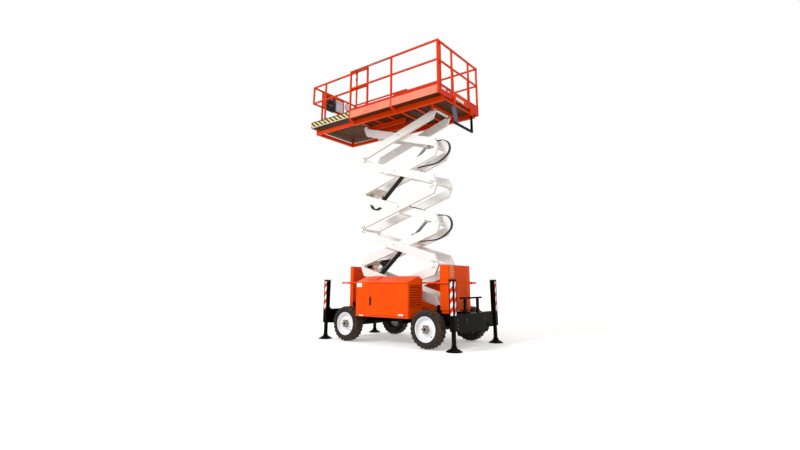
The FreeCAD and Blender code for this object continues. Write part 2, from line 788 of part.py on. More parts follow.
feet = both(box((cover_x[0] + foot_inset, cover_x[1] - foot_inset), (rail_in + plate, rail_out - plate),
                (rail_top, cover_z[0])))
pan = box(pan_x, (-guard_half, guard_half), pan_z)
pan = pan.cut(box((pan_x[0] + sheet, pan_x[1] + over_cut), (-inside_half, inside_half),
                  (pan_z[0] - over_cut, pan_z[1] + over_cut)))
pan_feet = both(box(pan_x, (pan_foot_in, guard_half), (rail_top, pan_z[0])))
save("end_guards", [fused([cover] + feet), fused([pan] + pan_feet)])

# Long side bars past both guards, with collars near their ends
bar_radius = 17.0
bar_y = guard_half + bar_radius + weld_gap
bar_z = 1112.0
bar_x = (-1462.0, 1345.0)
collar_radius = 24.0
collar_half = 14.0
collar_x = (pan_x[0] - 20.0, cover_x[1] + 20.0)
bars = [bar(bar_radius, V(bar_x[0], bar_y, bar_z), V(bar_x[1], bar_y, bar_z))]
bars += [bar(collar_radius, V(x - collar_half, bar_y, bar_z), V(x + collar_half, bar_y, bar_z))
         for x in collar_x]
save("side_bars", both(fused(bars)))

# Step on the entry end beam
step_half = 390.0
step_post_y = 235.0
step_post_half = 22.0
step_z = 862.0
step_thick = 26.0
step_x = (beam_inner_x + sheet, beam_inner_x + sheet + 30.0)
step_posts = both(box(step_x, (step_post_y - step_post_half, step_post_y + step_post_half),
                      (end_beam_top, step_z - step_thick)))
save("entry_step",
     [fused([box(step_x, (-step_half, step_half), (step_z - step_thick, step_z))] + step_posts)])

# Lift base: cheeks and pins of the fixed pivots, tracks for the rollers
cheek_thick = 26.0
cheek_gap = 5.0
pivot_cheeks = (inner_plane - cheek_gap - cheek_thick, inner_plane + own_eye + cheek_gap)
base = []
for y in pivot_cheeks:
    pivot = on_arm(1, -1, *lower_eye, y)
    low = box((pivot.x - eye_radius, pivot.x + eye_radius), (y, y + cheek_thick), (rail_top, pivot.z))
    base.append(fused([low, bar(eye_radius, pivot, pivot + V(0, cheek_thick, 0))]))
base.append(rod(pin_radius, on_arm(1, -1, *lower_eye, pivot_cheeks[0]),
                on_arm(1, -1, *lower_eye, pivot_cheeks[1] + cheek_thick)))
base = [fused(base)]
track_x = (-1215.0, 60.0)
track_depth = roller_width + 6.0
track_wall = 6.0
track_play = 2.0
track_low = first_pivot_z - roller_radius - track_play
track_high = first_pivot_z + roller_radius + track_play
track_y = (base_track_y, base_track_y + track_depth)
base.append(fused([box(track_x, track_y, (rail_top, track_low)),
                   box(track_x, track_y, (track_high, track_high + plate)),
                   box(track_x, (track_y[1], track_y[1] + track_wall), (rail_top, track_high + plate))]))
save("lift_base", base + [far(piece) for piece in base])

# Posts of the platform's guard, outside the floor's notches
deck_z = top_pivot_z + deck_under
floor_top = deck_z + floor_thick
top_z = deck_z + top_rail_up
mid_z = deck_z + mid_rail_up
post_top = top_z - half_tube - weld_gap
side_post_y = deck_half_width - half_tube
end_post_x = deck_right - half_tube - sheet
rear_post_x = deck_left + half_tube
middle_post_x = 175.0
latch_post_x = deck_left + 170.0
latch_post_y = (side_post_y - half_tube + deck_half_width - extension_inset) / 2
latch_post_half = 11.0
latch_x = (latch_post_x - half_tube, latch_post_x + half_tube)
latch_y = (latch_post_y - latch_post_half, latch_post_y + latch_post_half)
corner_post_y = deck_half_width - 103.0
gate_y = (-271.0, 426.0)
outer_posts = [rear_post_x, middle_post_x, end_post_x]
posts = []
for x in outer_posts:
    posts += both(square(x, side_post_y, half_tube, (deck_z + weld_gap, post_top)))
posts += both(box(latch_x, latch_y, (deck_z + weld_gap, post_top)))
entry_posts = [-corner_post_y, gate_y[0], gate_y[1]]
for y in entry_posts:
    posts.append(square(end_post_x, y, half_tube, (deck_z + weld_gap, post_top)))
save("guard_posts", posts)

# Platform deck: plywood floor on cross members between two channels, with brackets under the outer posts
board_in = 2.0              # the toe boards' faces behind the posts' faces
floor_half = deck_half_width - board_in - sheet
cross_depth = 26.0
cross_half = 20.0
cross_inset = 60.0
cross_count = 7
channel_y = (585.0, 655.0)
channel_wall = 8.0
channel_low = deck_z - 100.0
floor_x = (deck_left + board_in, end_post_x + half_tube - board_in - sheet)
floor = box(floor_x, (-floor_half, floor_half), (deck_z, floor_top))
notch = half_tube + weld_gap
notches = [(x, row * side_post_y) for x in outer_posts for row in (-1, 1)] + [(end_post_x, y)
                                                                              for y in entry_posts]
for x, y in notches:
    floor = floor.cut(square(x, y, notch, (deck_z - over_cut, floor_top + over_cut)))
latch_hole = box((latch_x[0] - weld_gap, latch_x[1] + weld_gap),
                 (latch_y[0] - weld_gap, latch_y[1] + weld_gap),
                 (deck_z - over_cut, floor_top + over_cut))
for hole in both(latch_hole):
    floor = floor.cut(hole)
save("deck_floor", [floor])
channel = box(floor_x, channel_y, (channel_low, deck_z))
channel = channel.cut(box((deck_left, deck_right), (channel_y[0] - over_cut, channel_y[1] - channel_wall),
                          (channel_low + channel_wall, deck_z - channel_wall)))
bracket_half = 22.0
bracket_tip = 24.0
bracket_root = 80.0
bracket_face = [(channel_y[1], deck_z), (channel_y[1], deck_z - bracket_root),
                (deck_half_width, deck_z - bracket_tip), (deck_half_width, deck_z)]
brackets = [prism([V(max(x - bracket_half, deck_left), y, z) for y, z in bracket_face],
                  V(2 * bracket_half, 0, 0))
            for x in outer_posts[:2]]
cross_pitch = (deck_right - deck_left - 2 * cross_inset) / (cross_count - 1)
member_reach = channel_y[0] - weld_gap
members = [box((x - cross_half, x + cross_half), (-member_reach, member_reach),
               (deck_z - cross_depth, deck_z))
           for x in [deck_left + cross_inset + k * cross_pitch for k in range(cross_count)]]
save("deck_frame", both(fused([channel] + brackets)) + members)

# Pivot cheeks and roller tracks under the deck
mounts = []
for y in (stack_half - own_eye - cheek_gap - cheek_thick, stack_half + cheek_gap):
    pivot = on_arm(pairs, 1, *upper_eye, y)
    high = box((pivot.x - eye_radius, pivot.x + eye_radius), (y, y + cheek_thick),
               (pivot.z, deck_z - cross_depth))
    cheek = fused([high, bar(eye_radius, pivot, pivot + V(0, cheek_thick, 0))])
    mounts.append(cheek.cut(bore(pin_radius + turn_gap, pivot, pivot + V(0, cheek_thick, 0))))
top_track_x = (-1010.0, 60.0)
track_sole = 8.0
top_track_low = top_pivot_z - roller_radius - track_play
top_track_high = top_pivot_z + roller_radius + track_play
top_track_span = (top_track_y - track_depth, top_track_y)
track_back = (top_track_span[0] - track_wall, top_track_span[0])
mounts.append(fused([box(top_track_x, top_track_span, (top_track_low - track_sole, top_track_low)),
                     box(top_track_x, top_track_span, (top_track_high, deck_z - cross_depth)),
                     box(top_track_x, track_back, (top_track_low - track_sole, deck_z - cross_depth))]))
save("platform_mounts", mounts + [far(piece) for piece in mounts])

# Toe boards between the posts, folded with the upper band set back
board_thick = sheet - weld_gap
band_back = 2.0
band_height = 52.0
board_z = deck_z + weld_gap


def toe_board(length):
    """Board along X from the origin, its outer face at y = 0."""
    section = [(0, 0), (0, toe_height - band_height), (-band_back, toe_height - band_height),
               (-band_back, toe_height),
               (-board_thick, toe_height), (-board_thick, 0)]
    return prism([V(0, y, z) for y, z in section], V(length, 0, 0))


boards = []
for low, high in zip(outer_posts[:-1], outer_posts[1:]):
    board = toe_board(high - low - 2 * notch)
    board.translate(V(low + notch, deck_half_width - board_in, board_z))
    boards += both(board)
board_end = side_post_y - notch
for low, high in ((-board_end, -corner_post_y - notch), (notch - corner_post_y, gate_y[0] - notch),
                  (gate_y[1] + notch, board_end)):
    board = toe_board(high - low)
    board.rotate(V(0, 0, 0), V(0, 0, 1), -90)
    board.translate(V(end_post_x + half_tube - board_in, high, board_z))
    boards.append(board)
save("toe_boards", boards)

# Guard rails in square tube
rail_half = half_tube - 3.0
end_rail_half = side_post_y - notch
rails = both(box((deck_left, deck_right), (side_post_y - half_tube, side_post_y + half_tube),
                 (top_z - half_tube, top_z + half_tube)))
rails.append(box((end_post_x - half_tube, end_post_x + half_tube), (-end_rail_half, end_rail_half),
                 (top_z - half_tube, top_z + half_tube)))
for low, high in zip(outer_posts[:-1], outer_posts[1:]):
    rails += both(box((low + notch, high - notch), (side_post_y - rail_half, side_post_y + rail_half),
                      (mid_z - half_tube, mid_z + half_tube)))
for low, high in ((-end_rail_half, -corner_post_y - notch), (notch - corner_post_y, gate_y[0] - notch),
                  (gate_y[1] + notch, end_rail_half)):
    rails.append(box((end_post_x - rail_half, end_post_x + rail_half), (low, high),
                     (mid_z - half_tube, mid_z + half_tube)))
strap_z = mid_z - 40.0
strap_y = (latch_post_y + latch_post_half + weld_gap, side_post_y - notch)
rails += both(box((deck_left, latch_post_x + half_tube), strap_y,
                  (strap_z - half_tube, strap_z + half_tube)))
save("guard_rails", rails)

# Entry gate between the two end posts, hung on the near one
gate_gap = 6.0
gate_side = (gate_y[0] + half_tube + gate_gap, gate_y[1] - half_tube - gate_gap)
gate_half = 12.0
gate_x = (end_post_x - gate_half, end_post_x + gate_half)
gate_stile = 30.0
gate_low = floor_top + gate_half
gate_hinge_x = end_post_x - half_tube - hinge_radius - turn_gap * 6
gate_hinge_y = gate_y[0] + half_tube + 3.0
gate_barrel = 45.0
gate_barrel_inset = 60.0
gate = [box(gate_x, gate_side, (mid_z - half_tube, mid_z + half_tube)),
        box(gate_x, gate_side, (gate_low, deck_z + toe_height))]
for y in (gate_side[0], gate_side[1] - gate_stile):
    gate.append(box(gate_x, (y, y + gate_stile), (gate_low, mid_z + half_tube)))
for z in (floor_top + gate_barrel_inset, mid_z - gate_barrel_inset):
    gate.append(rod(hinge_radius, V(gate_hinge_x, gate_hinge_y, z),
                    V(gate_hinge_x, gate_hinge_y, z + gate_barrel)))
    gate.append(box((gate_hinge_x, gate_x[0]), (gate_hinge_y, gate_side[0] + gate_stile),
                    (z, z + gate_barrel)))
save("entry_gate", [fused(gate)])

# Stiles down from the end posts, and the hanging step between them
stile_half = 22.0
stile_x = end_post_x + notch + stile_half
stile_low = deck_z - 120.0
stile_top = deck_z + 60.0
save("entry_stiles", [square(stile_x, y, stile_half, (stile_low, stile_top)) for y in gate_y])
loop_z = deck_z - 475.0
loop_half = 20.0
loop_x = (stile_x - loop_half, stile_x + loop_half)
loop = [box(loop_x, gate_y, (loop_z - loop_half, loop_z + loop_half))]
loop += [square(stile_x, y, loop_half, (loop_z - loop_half, stile_low - weld_gap)) for y in gate_y]
save("entry_loop", [fused(loop)])

# Sliding extension: its own floor above the deck, beams in the deck's channels
extension_half = deck_half_width - extension_inset
ext_left = deck_left - extension_out
ext_right = deck_left + extension_inside
ext_floor_low = floor_top + 40.0
ext_floor_thick = 20.0
ext_floor_top = ext_floor_low + ext_floor_thick
edge_high = deck_z + 215.0
edge_sheet = 6.0
ext_across = (-extension_half, extension_half)
ext_floor = [box((ext_left, ext_right), ext_across, (ext_floor_low, ext_floor_top)),
             box((ext_left, ext_left + edge_sheet), ext_across, (ext_floor_low, edge_high))]
ext_floor += both(box((ext_left, ext_right), (extension_half - edge_sheet, extension_half),
                      (ext_floor_low, edge_high)))
save("extension_floor", [fused(ext_floor)])
beam_y = (channel_y[0] + slide_gap, channel_y[1] - channel_wall - slide_gap)
beam_z = (channel_low + channel_wall + seat_gap, deck_z - channel_wall - slide_gap)
beam_out = ext_left + 80.0
head_width = 60.0
head_x = (beam_out, beam_out + head_width)
ext_beams = both(box((beam_out, ext_right), beam_y, beam_z))
ext_beams.append(box(head_x, (-beam_y[0], beam_y[0]), beam_z))
ext_beams += both(box(head_x, beam_y, (beam_z[1], ext_floor_low)))
save("extension_beams", [fused(ext_beams)])

# Guard rails of the extension
ext_post_y = extension_half - edge_sheet - half_tube
ext_end_x = ext_left + edge_sheet + half_tube
ext_side_posts = (ext_left + 446.0, ext_right - half_tube - 2.0)
ext_end_post_y = 440.0
ext_posts = []
for x in ext_side_posts:
    ext_posts += both(square(x, ext_post_y, half_tube, (ext_floor_top, post_top)))
ext_posts += both(square(ext_end_x, ext_end_post_y, half_tube, (ext_floor_top, post_top)))
ext_posts += both(square(ext_end_x, ext_post_y, half_tube, (mid_z + half_tube + weld_gap, post_top)))
save("extension_posts", ext_posts)
ext_side = (ext_post_y - half_tube, ext_post_y + half_tube)
ext_end = (ext_end_x - half_tube, ext_end_x + half_tube)
side_start = ext_end[1] + weld_gap
top_span = (top_z - half_tube, top_z + half_tube)
mid_span = (mid_z - half_tube, mid_z + half_tube)
ext_rails = both(box((side_start, ext_right), ext_side, top_span))
ext_rails.append(box(ext_end, (-ext_side[1], ext_side[1]), top_span))
for low, high in ((side_start, ext_side_posts[0] - notch), (ext_side_posts[0] + notch,
                                                            ext_side_posts[1] - notch)):
    ext_rails += both(box((low, high), ext_side, mid_span))
ext_rails += both(box(ext_end, (ext_end_post_y + notch, ext_side[1]), mid_span))
ext_rails.append(box(ext_end, (notch - ext_end_post_y, ext_end_post_y - notch), mid_span))
save("extension_rails", ext_rails)

# Control station on the extension's end guard: control box, document box and the plate behind them
station_x = ext_end_x + half_tube + weld_gap
control_y = (-367.0, -49.0)
control_z = (mid_z - 75.0, top_z - half_tube - 15.0)
control_depth = 150.0
panel_y = (-40.0, 200.0)
panel_z = (mid_z + 20.0, top_z - half_tube - 90.0)
panel_depth = 60.0
plate_y = (-420.0, 300.0)
papers_y = (320.0, 480.0)
papers_z = (mid_z + half_tube + 150.0, mid_z + half_tube + 300.0)
plate_z = (mid_z - half_tube, top_z + half_tube)
save("control_box",
     [box((station_x + sheet + weld_gap, station_x + control_depth), control_y, control_z)])
save("control_plate", [box((station_x, station_x + sheet), plate_y, plate_z)])
save("control_panels", [box((station_x + sheet + weld_gap, station_x + panel_depth), panel_y, panel_z),
                        box((station_x, station_x + panel_depth), papers_y, papers_z)])
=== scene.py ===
import bmesh
import bpy
import math
from mathutils import Matrix, Vector


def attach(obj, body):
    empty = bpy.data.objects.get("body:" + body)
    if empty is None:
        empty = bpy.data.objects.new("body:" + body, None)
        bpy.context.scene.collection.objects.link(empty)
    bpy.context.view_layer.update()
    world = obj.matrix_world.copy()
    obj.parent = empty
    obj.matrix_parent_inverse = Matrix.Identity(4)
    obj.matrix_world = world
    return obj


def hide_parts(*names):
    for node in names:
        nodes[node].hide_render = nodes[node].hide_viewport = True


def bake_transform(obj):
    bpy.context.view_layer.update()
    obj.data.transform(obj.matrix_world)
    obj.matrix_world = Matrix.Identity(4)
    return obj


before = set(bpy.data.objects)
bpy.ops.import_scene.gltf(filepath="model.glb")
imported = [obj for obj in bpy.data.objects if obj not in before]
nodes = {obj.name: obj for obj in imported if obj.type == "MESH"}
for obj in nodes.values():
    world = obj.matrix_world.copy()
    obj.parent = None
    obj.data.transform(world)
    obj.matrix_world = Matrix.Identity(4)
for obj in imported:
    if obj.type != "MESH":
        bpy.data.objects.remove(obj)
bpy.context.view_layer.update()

# ---- Camera ----
# Stands low at the engine side and the entry end and looks up at the raised platform.
# Place, angles and lens are those from which the measured points fall where they were seen.
yaw, pitch, roll = 0.653909, 0.248933, 0.001577
camera_data = bpy.data.cameras.new("camera")
camera_data.sensor_width = 36.0
camera_data.lens = 36.0 * 445.646 / 800
camera_data.shift_x = (400 - 400.354) / 800
camera_data.shift_y = (169.790 - 225) / 800
camera_data.clip_end = 200.0
forward = Vector((-math.sin(yaw) * math.cos(pitch), math.cos(yaw) * math.cos(pitch), math.sin(pitch)))
level = Vector((math.cos(yaw), math.sin(yaw), 0.0))
upward = level.cross(forward)
right = level * math.cos(roll) + upward * math.sin(roll)
upward = upward * math.cos(roll) - level * math.sin(roll)
camera = bpy.data.objects.new("camera", camera_data)
camera.matrix_world = Matrix((right, upward, -forward)).transposed().to_4x4()
camera.matrix_world.translation = (5.62186, -7.58466, 1.10862)
bpy.context.scene.collection.objects.link(camera)
bpy.context.scene.camera = camera

# ---- Light, floor and backdrop ----
# One broad lamp stands high on the engine side, and a pale sky fills the shade.
# The floor is pale and plain, and keeps the machine's shadow.
bpy.context.scene.view_settings.view_transform = "Standard"


def node(tree, kind, settings=None, **sockets):
    """Adds a node. Sockets are given by name, as a value or as the socket that feeds them."""
    made = tree.nodes.new(kind)
    for name, value in (settings or {}).items():
        setattr(made, name, value)
    for name, value in sockets.items():
        socket = made.inputs[name.replace("_", " ")]
        if isinstance(value, bpy.types.NodeSocket):
            tree.links.new(value, socket)
        else:
            socket.default_value = value
    return made


def lit_or_seen(tree, lit, seen):
    """Joins what lights the machine with what the camera and polished faces see."""
    path = tree.nodes.new("ShaderNodeLightPath")
    first = node(tree, "ShaderNodeMath", {"operation": "MAXIMUM"})
    tree.links.new(path.outputs["Is Camera Ray"], first.inputs[0])
    tree.links.new(path.outputs["Is Glossy Ray"], first.inputs[1])
    second = node(tree, "ShaderNodeMath", {"operation": "MAXIMUM"})
    tree.links.new(first.outputs[0], second.inputs[0])
    tree.links.new(path.outputs["Is Transmission Ray"], second.inputs[1])
    joined = node(tree, "ShaderNodeMixShader")
    tree.links.new(second.outputs[0], joined.inputs[0])
    tree.links.new(lit, joined.inputs[1])
    tree.links.new(seen, joined.inputs[2])
    return joined.outputs[0]


world = bpy.data.worlds.new("pale sky")
world.use_nodes = True
sky = world.node_tree
sky.nodes.clear()
fill = node(sky, "ShaderNodeBackground", Color=(0.985, 0.99, 1.0, 1), Strength=0.78)
backdrop = node(sky, "ShaderNodeBackground", Color=(1, 1, 1, 1), Strength=1.0)
sky_out = node(sky, "ShaderNodeOutputWorld")
sky.links.new(lit_or_seen(sky, fill.outputs[0], backdrop.outputs[0]), sky_out.inputs["Surface"])
bpy.context.scene.world = world

lamp_data = bpy.data.lights.new("broad lamp", "SUN")
lamp_data.energy = 1.55
lamp_data.angle = math.radians(16)
lamp = bpy.data.objects.new("broad lamp", lamp_data)
lamp.rotation_euler = Vector((-0.42, -0.82, 0.72)).to_track_quat("Z", "Y").to_euler()
bpy.context.scene.collection.objects.link(lamp)

floor_mesh = bpy.data.meshes.new("floor")
reach = 60.0
floor_mesh.from_pydata([(-reach, -reach, 0), (reach, -reach, 0), (reach, reach, 0), (-reach, reach, 0)],
                       [], [(0, 1, 2, 3)])
floor_paint = bpy.data.materials.new("pale floor")
floor_paint.use_nodes = True
ground = floor_paint.node_tree
ground.nodes.clear()
floor_lit = node(ground, "ShaderNodeBsdfDiffuse", Color=(0.84, 0.83, 0.81, 1))
floor_glow = node(ground, "ShaderNodeEmission", Color=(1, 1, 1, 1), Strength=0.34)
floor_seen = node(ground, "ShaderNodeAddShader")
ground.links.new(floor_lit.outputs[0], floor_seen.inputs[0])
ground.links.new(floor_glow.outputs[0], floor_seen.inputs[1])
ground_out = node(ground, "ShaderNodeOutputMaterial")
ground.links.new(lit_or_seen(ground, floor_lit.outputs[0], floor_seen.outputs[0]),
                 ground_out.inputs["Surface"])
floor = bpy.data.objects.new("floor", floor_mesh)
floor_mesh.materials.append(floor_paint)
bpy.context.scene.collection.objects.link(floor)

# ---- Chassis, outriggers, axles and trays ----
# Welded from heavy tube and plate, shot-blasted and sprayed gloss black.
# The paint is rubbed thin along its edges, and road dust clings to what is near the ground.


def tint(red, green, blue):
    """Screen colour from 0 to 255 as the shader's own scale."""
    return tuple((c / 12.92 if c <= 0.04045 else ((c + 0.055) / 1.055) ** 2.4)
                 for c in (red / 255, green / 255, blue / 255)) + (1.0,)


def blended(tree, share, under, over):
    """Lays one colour over another by a share from 0 to 1."""
    mix = tree.nodes.new("ShaderNodeMix")
    mix.data_type = "RGBA"
    for socket, value in ((mix.inputs[0], share), (mix.inputs[6], under), (mix.inputs[7], over)):
        if isinstance(value, bpy.types.NodeSocket):
            tree.links.new(value, socket)
        else:
            socket.default_value = value
    return mix.outputs[2]


def ranged(tree, value, low, high, to_low=0.0, to_high=1.0):
    """Spreads a value between two limits."""
    return node(tree, "ShaderNodeMapRange", Value=value, From_Min=low, From_Max=high,
                To_Min=to_low, To_Max=to_high).outputs[0]


def times(tree, first, second):
    product = node(tree, "ShaderNodeMath", {"operation": "MULTIPLY"})
    for socket, value in zip(product.inputs, (first, second)):
        if isinstance(value, bpy.types.NodeSocket):
            tree.links.new(value, socket)
        else:
            socket.default_value = value
    return product.outputs[0]


def noise(tree, spot, scale, detail=4.0, rough=0.55):
    return node(tree, "ShaderNodeTexNoise", Vector=spot, Scale=scale, Detail=detail,
                Roughness=rough).outputs[0]


def blank(name):
    """Material with its shader, and the place and height that its patterns read."""
    made = bpy.data.materials.new(name)
    made.use_nodes = True
    tree = made.node_tree
    shader = tree.nodes["Principled BSDF"]
    spot = tree.nodes.new("ShaderNodeTexCoord").outputs["Object"]
    parts = node(tree, "ShaderNodeSeparateXYZ", Vector=spot)
    return made, tree, shader, spot, parts


def worn_edge(tree, radius, spot, amount):
    """Share of bare metal along rounded edges, broken up by a fine pattern."""
    rounded = node(tree, "ShaderNodeBevel", {"samples": 4}, Radius=radius).outputs[0]
    flat = tree.nodes.new("ShaderNodeNewGeometry").outputs["Normal"]
    dot = node(tree, "ShaderNodeVectorMath", {"operation": "DOT_PRODUCT"})
    tree.links.new(rounded, dot.inputs[0])
    tree.links.new(flat, dot.inputs[1])
    edge = ranged(tree, dot.outputs["Value"], 0.985, 0.86)
    broken = ranged(tree, noise(tree, spot, 38.0, 6.0, 0.7), 0.44, 0.62)
    return rounded, times(tree, times(tree, edge, broken), amount)


def paint(name, colour, shade, bare, gloss=(0.28, 0.46), dust=0.0, dust_top=0.6, wear=0.5,
          dust_colour=tint(150, 128, 104), shine=0.2):
    """Sprayed paint: broad shade changes, orange peel, worn edges and dust that thins upwards."""
    made, tree, shader, spot, parts = blank(name)
    shader.inputs["Specular IOR Level"].default_value = shine
    broad = ranged(tree, noise(tree, spot, 1.7, 5.0), 0.32, 0.68)
    skin = blended(tree, broad, colour, shade)
    scuffs = ranged(tree, noise(tree, spot, 62.0, 8.0, 0.75), 0.66, 0.74)
    skin = blended(tree, times(tree, scuffs, 0.35 * wear), skin, bare)
    rounded, edge = worn_edge(tree, 0.004, spot, wear)
    skin = blended(tree, edge, skin, bare)
    low = ranged(tree, parts.outputs["Z"], dust_top, 0.02)
    patches = ranged(tree, noise(tree, spot, 7.0, 6.0, 0.65), 0.34, 0.70)
    film = times(tree, times(tree, low, patches), dust)
    skin = blended(tree, film, skin, dust_colour)
    tree.links.new(skin, shader.inputs["Base Color"])
    sheen = ranged(tree, noise(tree, spot, 11.0, 4.0), 0.3, 0.7, *gloss)
    dulled = node(tree, "ShaderNodeMath", {"operation": "MULTIPLY_ADD"})
    tree.links.new(film, dulled.inputs[0])
    dulled.inputs[1].default_value = 0.45
    tree.links.new(sheen, dulled.inputs[2])
    tree.links.new(dulled.outputs[0], shader.inputs["Roughness"])
    waves = node(tree, "ShaderNodeBump", Strength=0.25, Distance=0.004,
                 Height=noise(tree, spot, 4.5, 3.0), Normal=rounded)
    peel = node(tree, "ShaderNodeBump", Strength=0.12, Distance=0.0006,
                Height=noise(tree, spot, 240.0, 2.0), Normal=waves.outputs[0])
    tree.links.new(peel.outputs[0], shader.inputs["Normal"])
    return made


def cover(material, *names):
    """Gives CAD nodes a material."""
    for name in names:
        slots = nodes[name].data.materials
        slots.clear()
        slots.append(material)


chassis_black = paint("chassis black", tint(7, 5, 4), tint(12, 9, 8), tint(44, 37, 32),
                      gloss=(0.24, 0.42), dust=0.02, dust_top=0.85, wear=0.4, shine=0.03)
legs = [name for name in nodes if name.startswith("leg_")]
cover(chassis_black, "chassis_rails", "end_beams", "outrigger_sleeves", "axles", "pod_trays", "entry_step",
      "lift_base", "entry_loop", "knuckle_near", "knuckle_far", *legs)

# ---- Housings ----
# Folded from sheet steel and sprayed bright orange, with a door on each side and louvres.
# Dirt gathers along the lower edges.
housing_orange = paint("housing orange", tint(246, 86, 0), tint(242, 74, 0), tint(178, 74, 36),
                       gloss=(0.26, 0.42), dust=0.22, dust_top=0.62, wear=0.3, shine=0.08)
cover(housing_orange, "engine_pod", "service_pod", "engine_door", "service_door", "end_guards", "side_bars")

# ---- Engine ----
# A cast block behind the louvres, oily and dusty.
engine_grey = paint("engine grey", tint(84, 86, 88), tint(58, 58, 58), tint(150, 146, 140),
                    gloss=(0.45, 0.7), dust=0.3, dust_top=1.2, wear=0.5)
cover(engine_grey, "engine_block")

# ---- Arms ----
# Deep box beams, welded and sprayed off-white, with faint brownish streaks.
# Their downward faces are painted a warmer beige in patches, as painted shade.


def arm_paint():
    made, tree, shader, spot, parts = blank("arm white")
    broad = ranged(tree, noise(tree, spot, 2.2, 5.0), 0.3, 0.7)
    skin = blended(tree, broad, tint(246, 245, 243), tint(241, 239, 234))
    stretched = node(tree, "ShaderNodeMapping", Vector=spot, Scale=(1.0, 1.0, 7.0)).outputs[0]
    streaks = ranged(tree, noise(tree, stretched, 5.0, 7.0, 0.7), 0.56, 0.80)
    skin = blended(tree, times(tree, streaks, 0.30), skin, tint(196, 184, 164))
    rounded, edge = worn_edge(tree, 0.004, spot, 0.45)
    skin = blended(tree, edge, skin, tint(122, 92, 72))
    facing = node(tree, "ShaderNodeSeparateXYZ",
                  Vector=tree.nodes.new("ShaderNodeNewGeometry").outputs["Normal"])
    # Downward faces turn a warmer beige in patches: painted shade on the undersides.
    under = ranged(tree, facing.outputs["Z"], -0.25, -0.85)
    underside_shade_patches = ranged(tree, noise(tree, spot, 9.0, 6.0, 0.65), 0.2, 0.75, 0.55, 1.0)
    skin = blended(tree, times(tree, under, underside_shade_patches), skin, tint(232, 212, 184))
    tree.links.new(skin, shader.inputs["Base Color"])
    tree.links.new(ranged(tree, noise(tree, spot, 12.0), 0.3, 0.7, 0.34, 0.52), shader.inputs["Roughness"])
    waves = node(tree, "ShaderNodeBump", Strength=0.07, Distance=0.003,
                 Height=noise(tree, spot, 6.0, 3.0), Normal=rounded)
    peel = node(tree, "ShaderNodeBump", Strength=0.12, Distance=0.0006,
                Height=noise(tree, spot, 230.0, 2.0), Normal=waves.outputs[0])
    tree.links.new(peel.outputs[0], shader.inputs["Normal"])
    shader.inputs["Specular IOR Level"].default_value = 0.25
    return made


arm_white = arm_paint()
cover(arm_white, *[name for name in nodes if "_arm_" in name])

# ---- Lift cylinders ----
# Drawn steel barrels in gloss black, and hard-chromed rods with a thin film of oil.
barrel_black = paint("barrel black", tint(34, 34, 36), tint(44, 44, 46), tint(120, 116, 112),
                     gloss=(0.18, 0.32), dust=0.0, wear=0.5)
cover(barrel_black, "lower_barrel", "upper_barrel")


def chrome():
    made, tree, shader, spot, parts = blank("hard chrome")
    shader.inputs["Metallic"].default_value = 1.0
    film = ranged(tree, noise(tree, spot, 24.0, 6.0, 0.7), 0.4, 0.7)
    tree.links.new(blended(tree, film, tint(150, 151, 156), tint(112, 110, 108)), shader.inputs["Base Color"])
    tree.links.new(ranged(tree, noise(tree, spot, 90.0), 0.3, 0.7, 0.10, 0.24), shader.inputs["Roughness"])
    lines = node(tree, "ShaderNodeBump", Strength=0.06, Distance=0.0003,
                 Height=noise(tree, spot, 520.0, 2.0))
    tree.links.new(lines.outputs[0], shader.inputs["Normal"])
    return made


cover(chrome(), "lower_rod", "upper_rod")

# ---- Platform steelwork ----
# Channels, cross members, posts and rails in orange-red paint that has been rubbed by hands and boots.
platform_red = paint("platform orange-red", tint(234, 70, 0), tint(224, 56, 0), tint(150, 58, 28),
                     gloss=(0.30, 0.48), dust=0.0, wear=0.5, shine=0.05)
cover(platform_red, "deck_frame", "platform_mounts", "guard_posts", "guard_rails", "entry_gate",
      "extension_posts", "extension_rails", "extension_beams", "entry_stiles", "control_plate")

# ---- Toe boards ----
# Folded sheet, with its upper band set back. The faces turned to the engine side are a paler pink in patches,
# and all of it above the step is painted a deeper red, as painted shade in the set-back band.


def board_paint():
    made, tree, shader, spot, parts = blank("toe board red")
    base = blended(tree, ranged(tree, noise(tree, spot, 3.0), 0.3, 0.7), tint(222, 46, 2), tint(214, 38, 2))
    facing = node(tree, "ShaderNodeSeparateXYZ",
                  Vector=tree.nodes.new("ShaderNodeNewGeometry").outputs["Normal"])
    near = ranged(tree, facing.outputs["Y"], -0.6, -0.9)
    patches = ranged(tree, noise(tree, spot, 2.6, 6.0, 0.6), 0.18, 0.55, 0.55, 1.0)
    base = blended(tree, times(tree, near, patches), base, tint(238, 140, 112))
    # Deeper red above the step: painted shade in the set-back upper band.
    band = ranged(tree, parts.outputs["Z"], 4.8565, 4.8575)
    base = blended(tree, band, base, tint(200, 34, 2))
    rounded, edge = worn_edge(tree, 0.003, spot, 0.5)
    base = blended(tree, edge, base, tint(150, 96, 78))
    tree.links.new(base, shader.inputs["Base Color"])
    tree.links.new(ranged(tree, noise(tree, spot, 10.0), 0.3, 0.7, 0.4, 0.62), shader.inputs["Roughness"])
    waves = node(tree, "ShaderNodeBump", Strength=0.3, Distance=0.004,
                 Height=noise(tree, spot, 5.0, 3.0), Normal=rounded)
    tree.links.new(waves.outputs[0], shader.inputs["Normal"])
    shader.inputs["Specular IOR Level"].default_value = 0.12
    return made


cover(board_paint(), "toe_boards")

# ---- Platform floor ----
# Film-faced plywood, dark brown, with a pressed grip pattern, scratches and pale scuffs.


